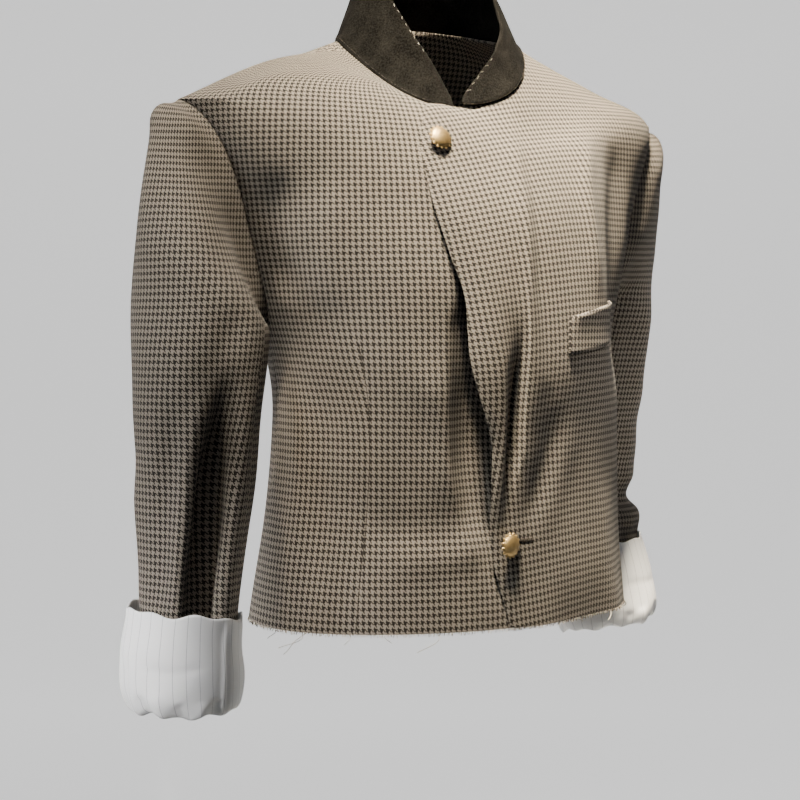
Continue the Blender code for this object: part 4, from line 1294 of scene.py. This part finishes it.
def stray_line(stray):
    """Points of one long thread from the hem: down, aside and out, with a curl."""
    line, way, out = hems[stray.panel]
    a = np.degrees(np.arctan2(line[:, 0], -line[:, 1]))
    k = np.abs((a - stray.turn + 180.0) % 360.0 - 180.0).argmin()
    side = np.cross(out[k], way[k])
    t = np.linspace(0.0, 1.0, STRAY_POINTS)[:, None]
    aside = stray.aside * t**STRAY_DRIFT + stray.curl * np.sin(STRAY_CURL * t)
    path = line[k] + way[k] * stray.length * t + side * aside
    path = path + out[k] * stray.out * np.sin(STRAY_BOW * t)
    return path, np.repeat(way[k][None], STRAY_POINTS, 0), np.repeat(out[k][None], STRAY_POINTS, 0)


pale_yarn = make_yarn(PALE_YARN)
sew("hem_fray", list(hems.values()), HEM_ENDS, make_yarn(RAW_YARN))
sew("hem_threads", [stray_line(stray) for stray in STRAYS], HEM_THREAD, pale_yarn)


# The dart's painted shadow: a fine dark thread laid along the dart's fold from the chest to the hem, so the
# shade in the fold shows as a fine dark line.
DART_SHADOW_THREAD = Thread(0.0003, 0.001)
DARK_THREAD = Yarn("dark_yarn", (0.012, 0.010, 0.009, 1.0), (0.05, 0.042, 0.034, 1.0), 300.0)
dark_yarn = make_yarn(DARK_THREAD)
sew("dart_shadow_line", [dart_line], DART_SHADOW_THREAD, dark_yarn)


# The collar's stitches: pale hand stitches bind the raw top edge of the two front ends, and a close row of
# dark prick stitches holds the lower edge down on the neckline.
EDGE_STITCH = Stitch(0.0064, 0.0032, 0.00016, 0.5, 0.0006, 0.45, 5)
EDGE_INSIDE = 0.6
EDGE_SLANT = 0.5
EDGE_TURNS = ((-110.0, -38.0), (-372.0, -350.0))
PRICK_STITCH = Stitch(0.0032, 0.0022, 0.0002, 0.5, 0.0003, 0.05, 7)
STITCH_LIFT = 0.05
collar_out = grid_normal(collar_grid)
collar_turns = np.linspace(COLLAR[-1].turn, COLLAR[0].turn, collar_grid.shape[1])
edge_lines = []
for first, last in EDGE_TURNS:
    mine = (collar_turns > first) & (collar_turns < last)
    line = collar_grid[-1, mine]
    down = unit(collar_grid[-2, mine] - line)
    slant = unit(unit(np.gradient(line, axis=0)) + EDGE_SLANT * down)
    edge_lines.append((line + EDGE_INSIDE * down, slant, collar_out[-1, mine]))
sew("collar_edge_stitches", edge_lines, EDGE_STITCH, pale_yarn)
low_edge, low_out = collar_grid[1], collar_out[1]
low_line = (low_edge + STITCH_LIFT * low_out, unit(np.gradient(low_edge, axis=0)), low_out)
sew("collar_seam_stitches", [low_line], PRICK_STITCH, dark_yarn)


# The buttonhole that ends beside the lower button: a slit in the left front, worked by hand in dark thread
# with close stitches over both lips.
HOLE_LEVEL = 0.465
HOLE_TURN = (-7.0, 1.5)
HOLE_POINTS = 24
HOLE_LIP = 0.9
HOLE_SLIT = Thread(0.00045, 0.0006)
HOLE_STITCH = Stitch(0.00075, 0.0017, 0.0002, 0.5, 0.0005, 0.08, 9)
hole_turns = np.linspace(*HOLE_TURN, HOLE_POINTS)
hole_levels = np.full_like(hole_turns, HOLE_LEVEL)
hole_out = body_normal(hole_levels, hole_turns)
hole = body(hole_levels, hole_turns) + left_front_out(hole_levels, hole_turns)[:, None] * hole_out
hole_way = unit(np.gradient(hole, axis=0))
hole_up = np.cross(hole_out, hole_way)
lips = [(hole + side * HOLE_LIP * hole_up, hole_up, hole_out) for side in (-1.0, 1.0)]
sew("buttonhole_slit", [(hole + STITCH_LIFT * hole_out, hole_way, hole_out)], HOLE_SLIT, dark_yarn)
sew("buttonhole_stitches", lips, HOLE_STITCH, dark_yarn)


# The studio: a sweep of pale paper under and behind the jacket, a steep warm key lamp high on its right, and
# weaker narrow lamps that lift single folds. Paper and room look pale to the camera but give little light.
# The camera stands level with the chest, off to the jacket's right, as in the photograph.
FLOOR = -0.80
SWEEP_FRONT = -3.0
SWEEP_BACK = 2.2
SWEEP_BEND = 1.0
SWEEP_STEPS = np.linspace(0.1, np.pi / 2, 14)
SWEEP_TOP = 3.5
SWEEP_HALF = 4.0
PAPER = (0.86, 0.86, 0.86, 1.0)
PAPER_LIGHT = (0.90, 0.90, 0.90, 1.0)
GLOW_HALF = 2.4
GLOW_FULL = 0.8
GLOW_FROM = 0.15
GLOW_TO = 0.75
GLOW = 0.8
BLACK = (0.0, 0.0, 0.0, 1.0)
WHITE = (1.0, 1.0, 1.0, 1.0)
ROOM = (0.05, 0.05, 0.05, 1.0)
ROOM_SEEN = (0.8, 0.8, 0.8, 1.0)
LAMP_DISTANCE = 2.0
Lamp = namedtuple("Lamp", "name azimuth elevation aim power size spread colour")
LAMPS = [
    Lamp("key", -50, 70, (0.07, -0.09, -0.11), 5.2, 0.3, 13, (1.0, 0.87, 0.66)),
    Lamp("shoulder", -60, 72, (-0.21, 0.0, -0.06), 0.22, 0.2, 7, (1.0, 0.9, 0.76)),
    Lamp("front", -45, 56, (0.06, -0.10, -0.42), 0.09, 0.3, 10, (0.9, 0.97, 1.0)),
    Lamp("waist", -70, 50, (-0.06, -0.09, -0.33), 0.065, 0.2, 8, (0.9, 0.97, 1.0)),
    Lamp("armhole", -56, 48, (-0.178, -0.066, -0.21), 0.036, 0.1, 4, (1.0, 0.94, 0.84)),
    Lamp("side", -24, 24, (-0.14, -0.05, -0.42), 0.02, 0.1, 4, (1.0, 0.96, 0.92)),
    Lamp("welt", 25, 45, (0.075, -0.115, -0.26), 0.024, 0.1, 4, (1.0, 0.94, 0.86)),
    Lamp("left_sleeve", 12, 48, (0.245, 0.02, -0.26), 0.045, 0.1, 4, (1.0, 0.96, 0.9)),
    Lamp("right_side", -100, 40, (-0.2, 0.0, -0.25), 1.02, 0.4, 30, (0.97, 0.98, 0.97)),
    Lamp("right_sleeve", -118, 20, (-0.25, 0.0, -0.42), 0.33, 0.4, 12, (1.0, 0.98, 0.96)),
    Lamp("right_cuff", -80, 25, (-0.26, -0.06, -0.48), 0.14, 0.2, 5, (1.0, 0.98, 0.96)),
]
AZIMUTH = np.radians(-35.0)
DISTANCE = 1.6
CAMERA_Z = -0.205
SENSOR = 36.0
FOCAL_PIXELS = 2000.0
FRAME_PIXELS = 800.0
AXIS_X = 434.5
HORIZON_Y = 290.0
out_way = Vector((np.sin(AZIMUTH), -np.cos(AZIMUTH), 0.0))
right_way = Vector((np.cos(AZIMUTH), np.sin(AZIMUTH), 0.0))
up_way = Vector((0.0, 0.0, 1.0))


def make_paper():
    material, start, shader = new_material("pale_paper")
    grain = start.noise(scale=40.0, detail=2.0)
    feed(shader, Base_Color=grain.mix(PAPER, PAPER_LIGHT), Roughness=0.9)
    x, y = start.node("ShaderNodeTexCoord", {}, {}, 3).split("ShaderNodeSeparateXYZ")
    back = x * -out_way.x + y * -out_way.y
    aside = x * right_way.x + y * right_way.y
    glow, centre = [start.node("ShaderNodeMapRange", {"interpolation_type": "SMOOTHSTEP"},
                               {"Value": value, "From Min": low, "From Max": high})
                    for value, low, high in ((back, GLOW_FROM, GLOW_TO),
                                             (aside.math("ABSOLUTE", aside), GLOW_HALF, GLOW_FULL))]
    seen = start.node("ShaderNodeLightPath", {}, {})
    glow = start.math("MAXIMUM", glow * centre, seen)
    feed(shader, Emission_Color=glow.mix(BLACK, WHITE), Emission_Strength=GLOW)
    return material


def make_floor():
    bend = SWEEP_BACK - SWEEP_BEND
    profile = [(SWEEP_FRONT, 0.0), (bend, 0.0)]
    profile += [(bend + SWEEP_BEND * np.sin(t), SWEEP_BEND * (1.0 - np.cos(t))) for t in SWEEP_STEPS]
    profile += [(SWEEP_BACK, SWEEP_TOP)]
    points = [-out_way * back + right_way * reach + up_way * (FLOOR + high)
              for back, high in profile for reach in (-SWEEP_HALF, SWEEP_HALF)]
    faces = [[2 * i, 2 * i + 1, 2 * i + 3, 2 * i + 2] for i in range(len(profile) - 1)]
    new_piece("floor", np.array(points), faces, make_paper())


def make_lamp(lamp):
    """A square lamp with a narrow beam; azimuth 0 is the front, and the jacket's left is positive."""
    data = bpy.data.lights.new(lamp.name, "AREA")
    data.energy = lamp.power
    data.size = lamp.size
    data.spread = np.radians(lamp.spread)
    data.color = lamp.colour
    obj = bpy.data.objects.new(lamp.name, data)
    turn, tilt = np.radians((lamp.azimuth, lamp.elevation))
    way = Vector((np.sin(turn) * np.cos(tilt), -np.cos(turn) * np.cos(tilt), np.sin(tilt)))
    obj.location = Vector(lamp.aim) + way * LAMP_DISTANCE
    obj.rotation_euler = (-way).to_track_quat("-Z", "Y").to_euler()
    bpy.context.scene.collection.objects.link(obj)


make_floor()
for entry in LAMPS:
    make_lamp(entry)

world = bpy.data.worlds.new("studio")
bpy.context.scene.world = world
world.use_nodes = True
room_seen = Value(world.node_tree, None).node("ShaderNodeLightPath", {}, {})
feed(world.node_tree.nodes["Background"], Color=room_seen.mix(ROOM, ROOM_SEEN))

camera_data = bpy.data.cameras.new("camera")
camera_data.sensor_width = SENSOR
camera_data.lens = SENSOR * FOCAL_PIXELS / FRAME_PIXELS
camera = bpy.data.objects.new("camera", camera_data)
camera.location = out_way * DISTANCE + up_way * CAMERA_Z
yaw = np.arctan((AXIS_X - FRAME_PIXELS / 2) / FOCAL_PIXELS)
pitch = np.arctan((FRAME_PIXELS / 2 - HORIZON_Y) / FOCAL_PIXELS)
level_way = -out_way * np.cos(yaw) - right_way * np.sin(yaw)
forward = level_way * np.cos(pitch) - up_way * np.sin(pitch)
camera.rotation_euler = forward.to_track_quat("-Z", "Y").to_euler()
bpy.context.scene.collection.objects.link(camera)
bpy.context.scene.camera = camera
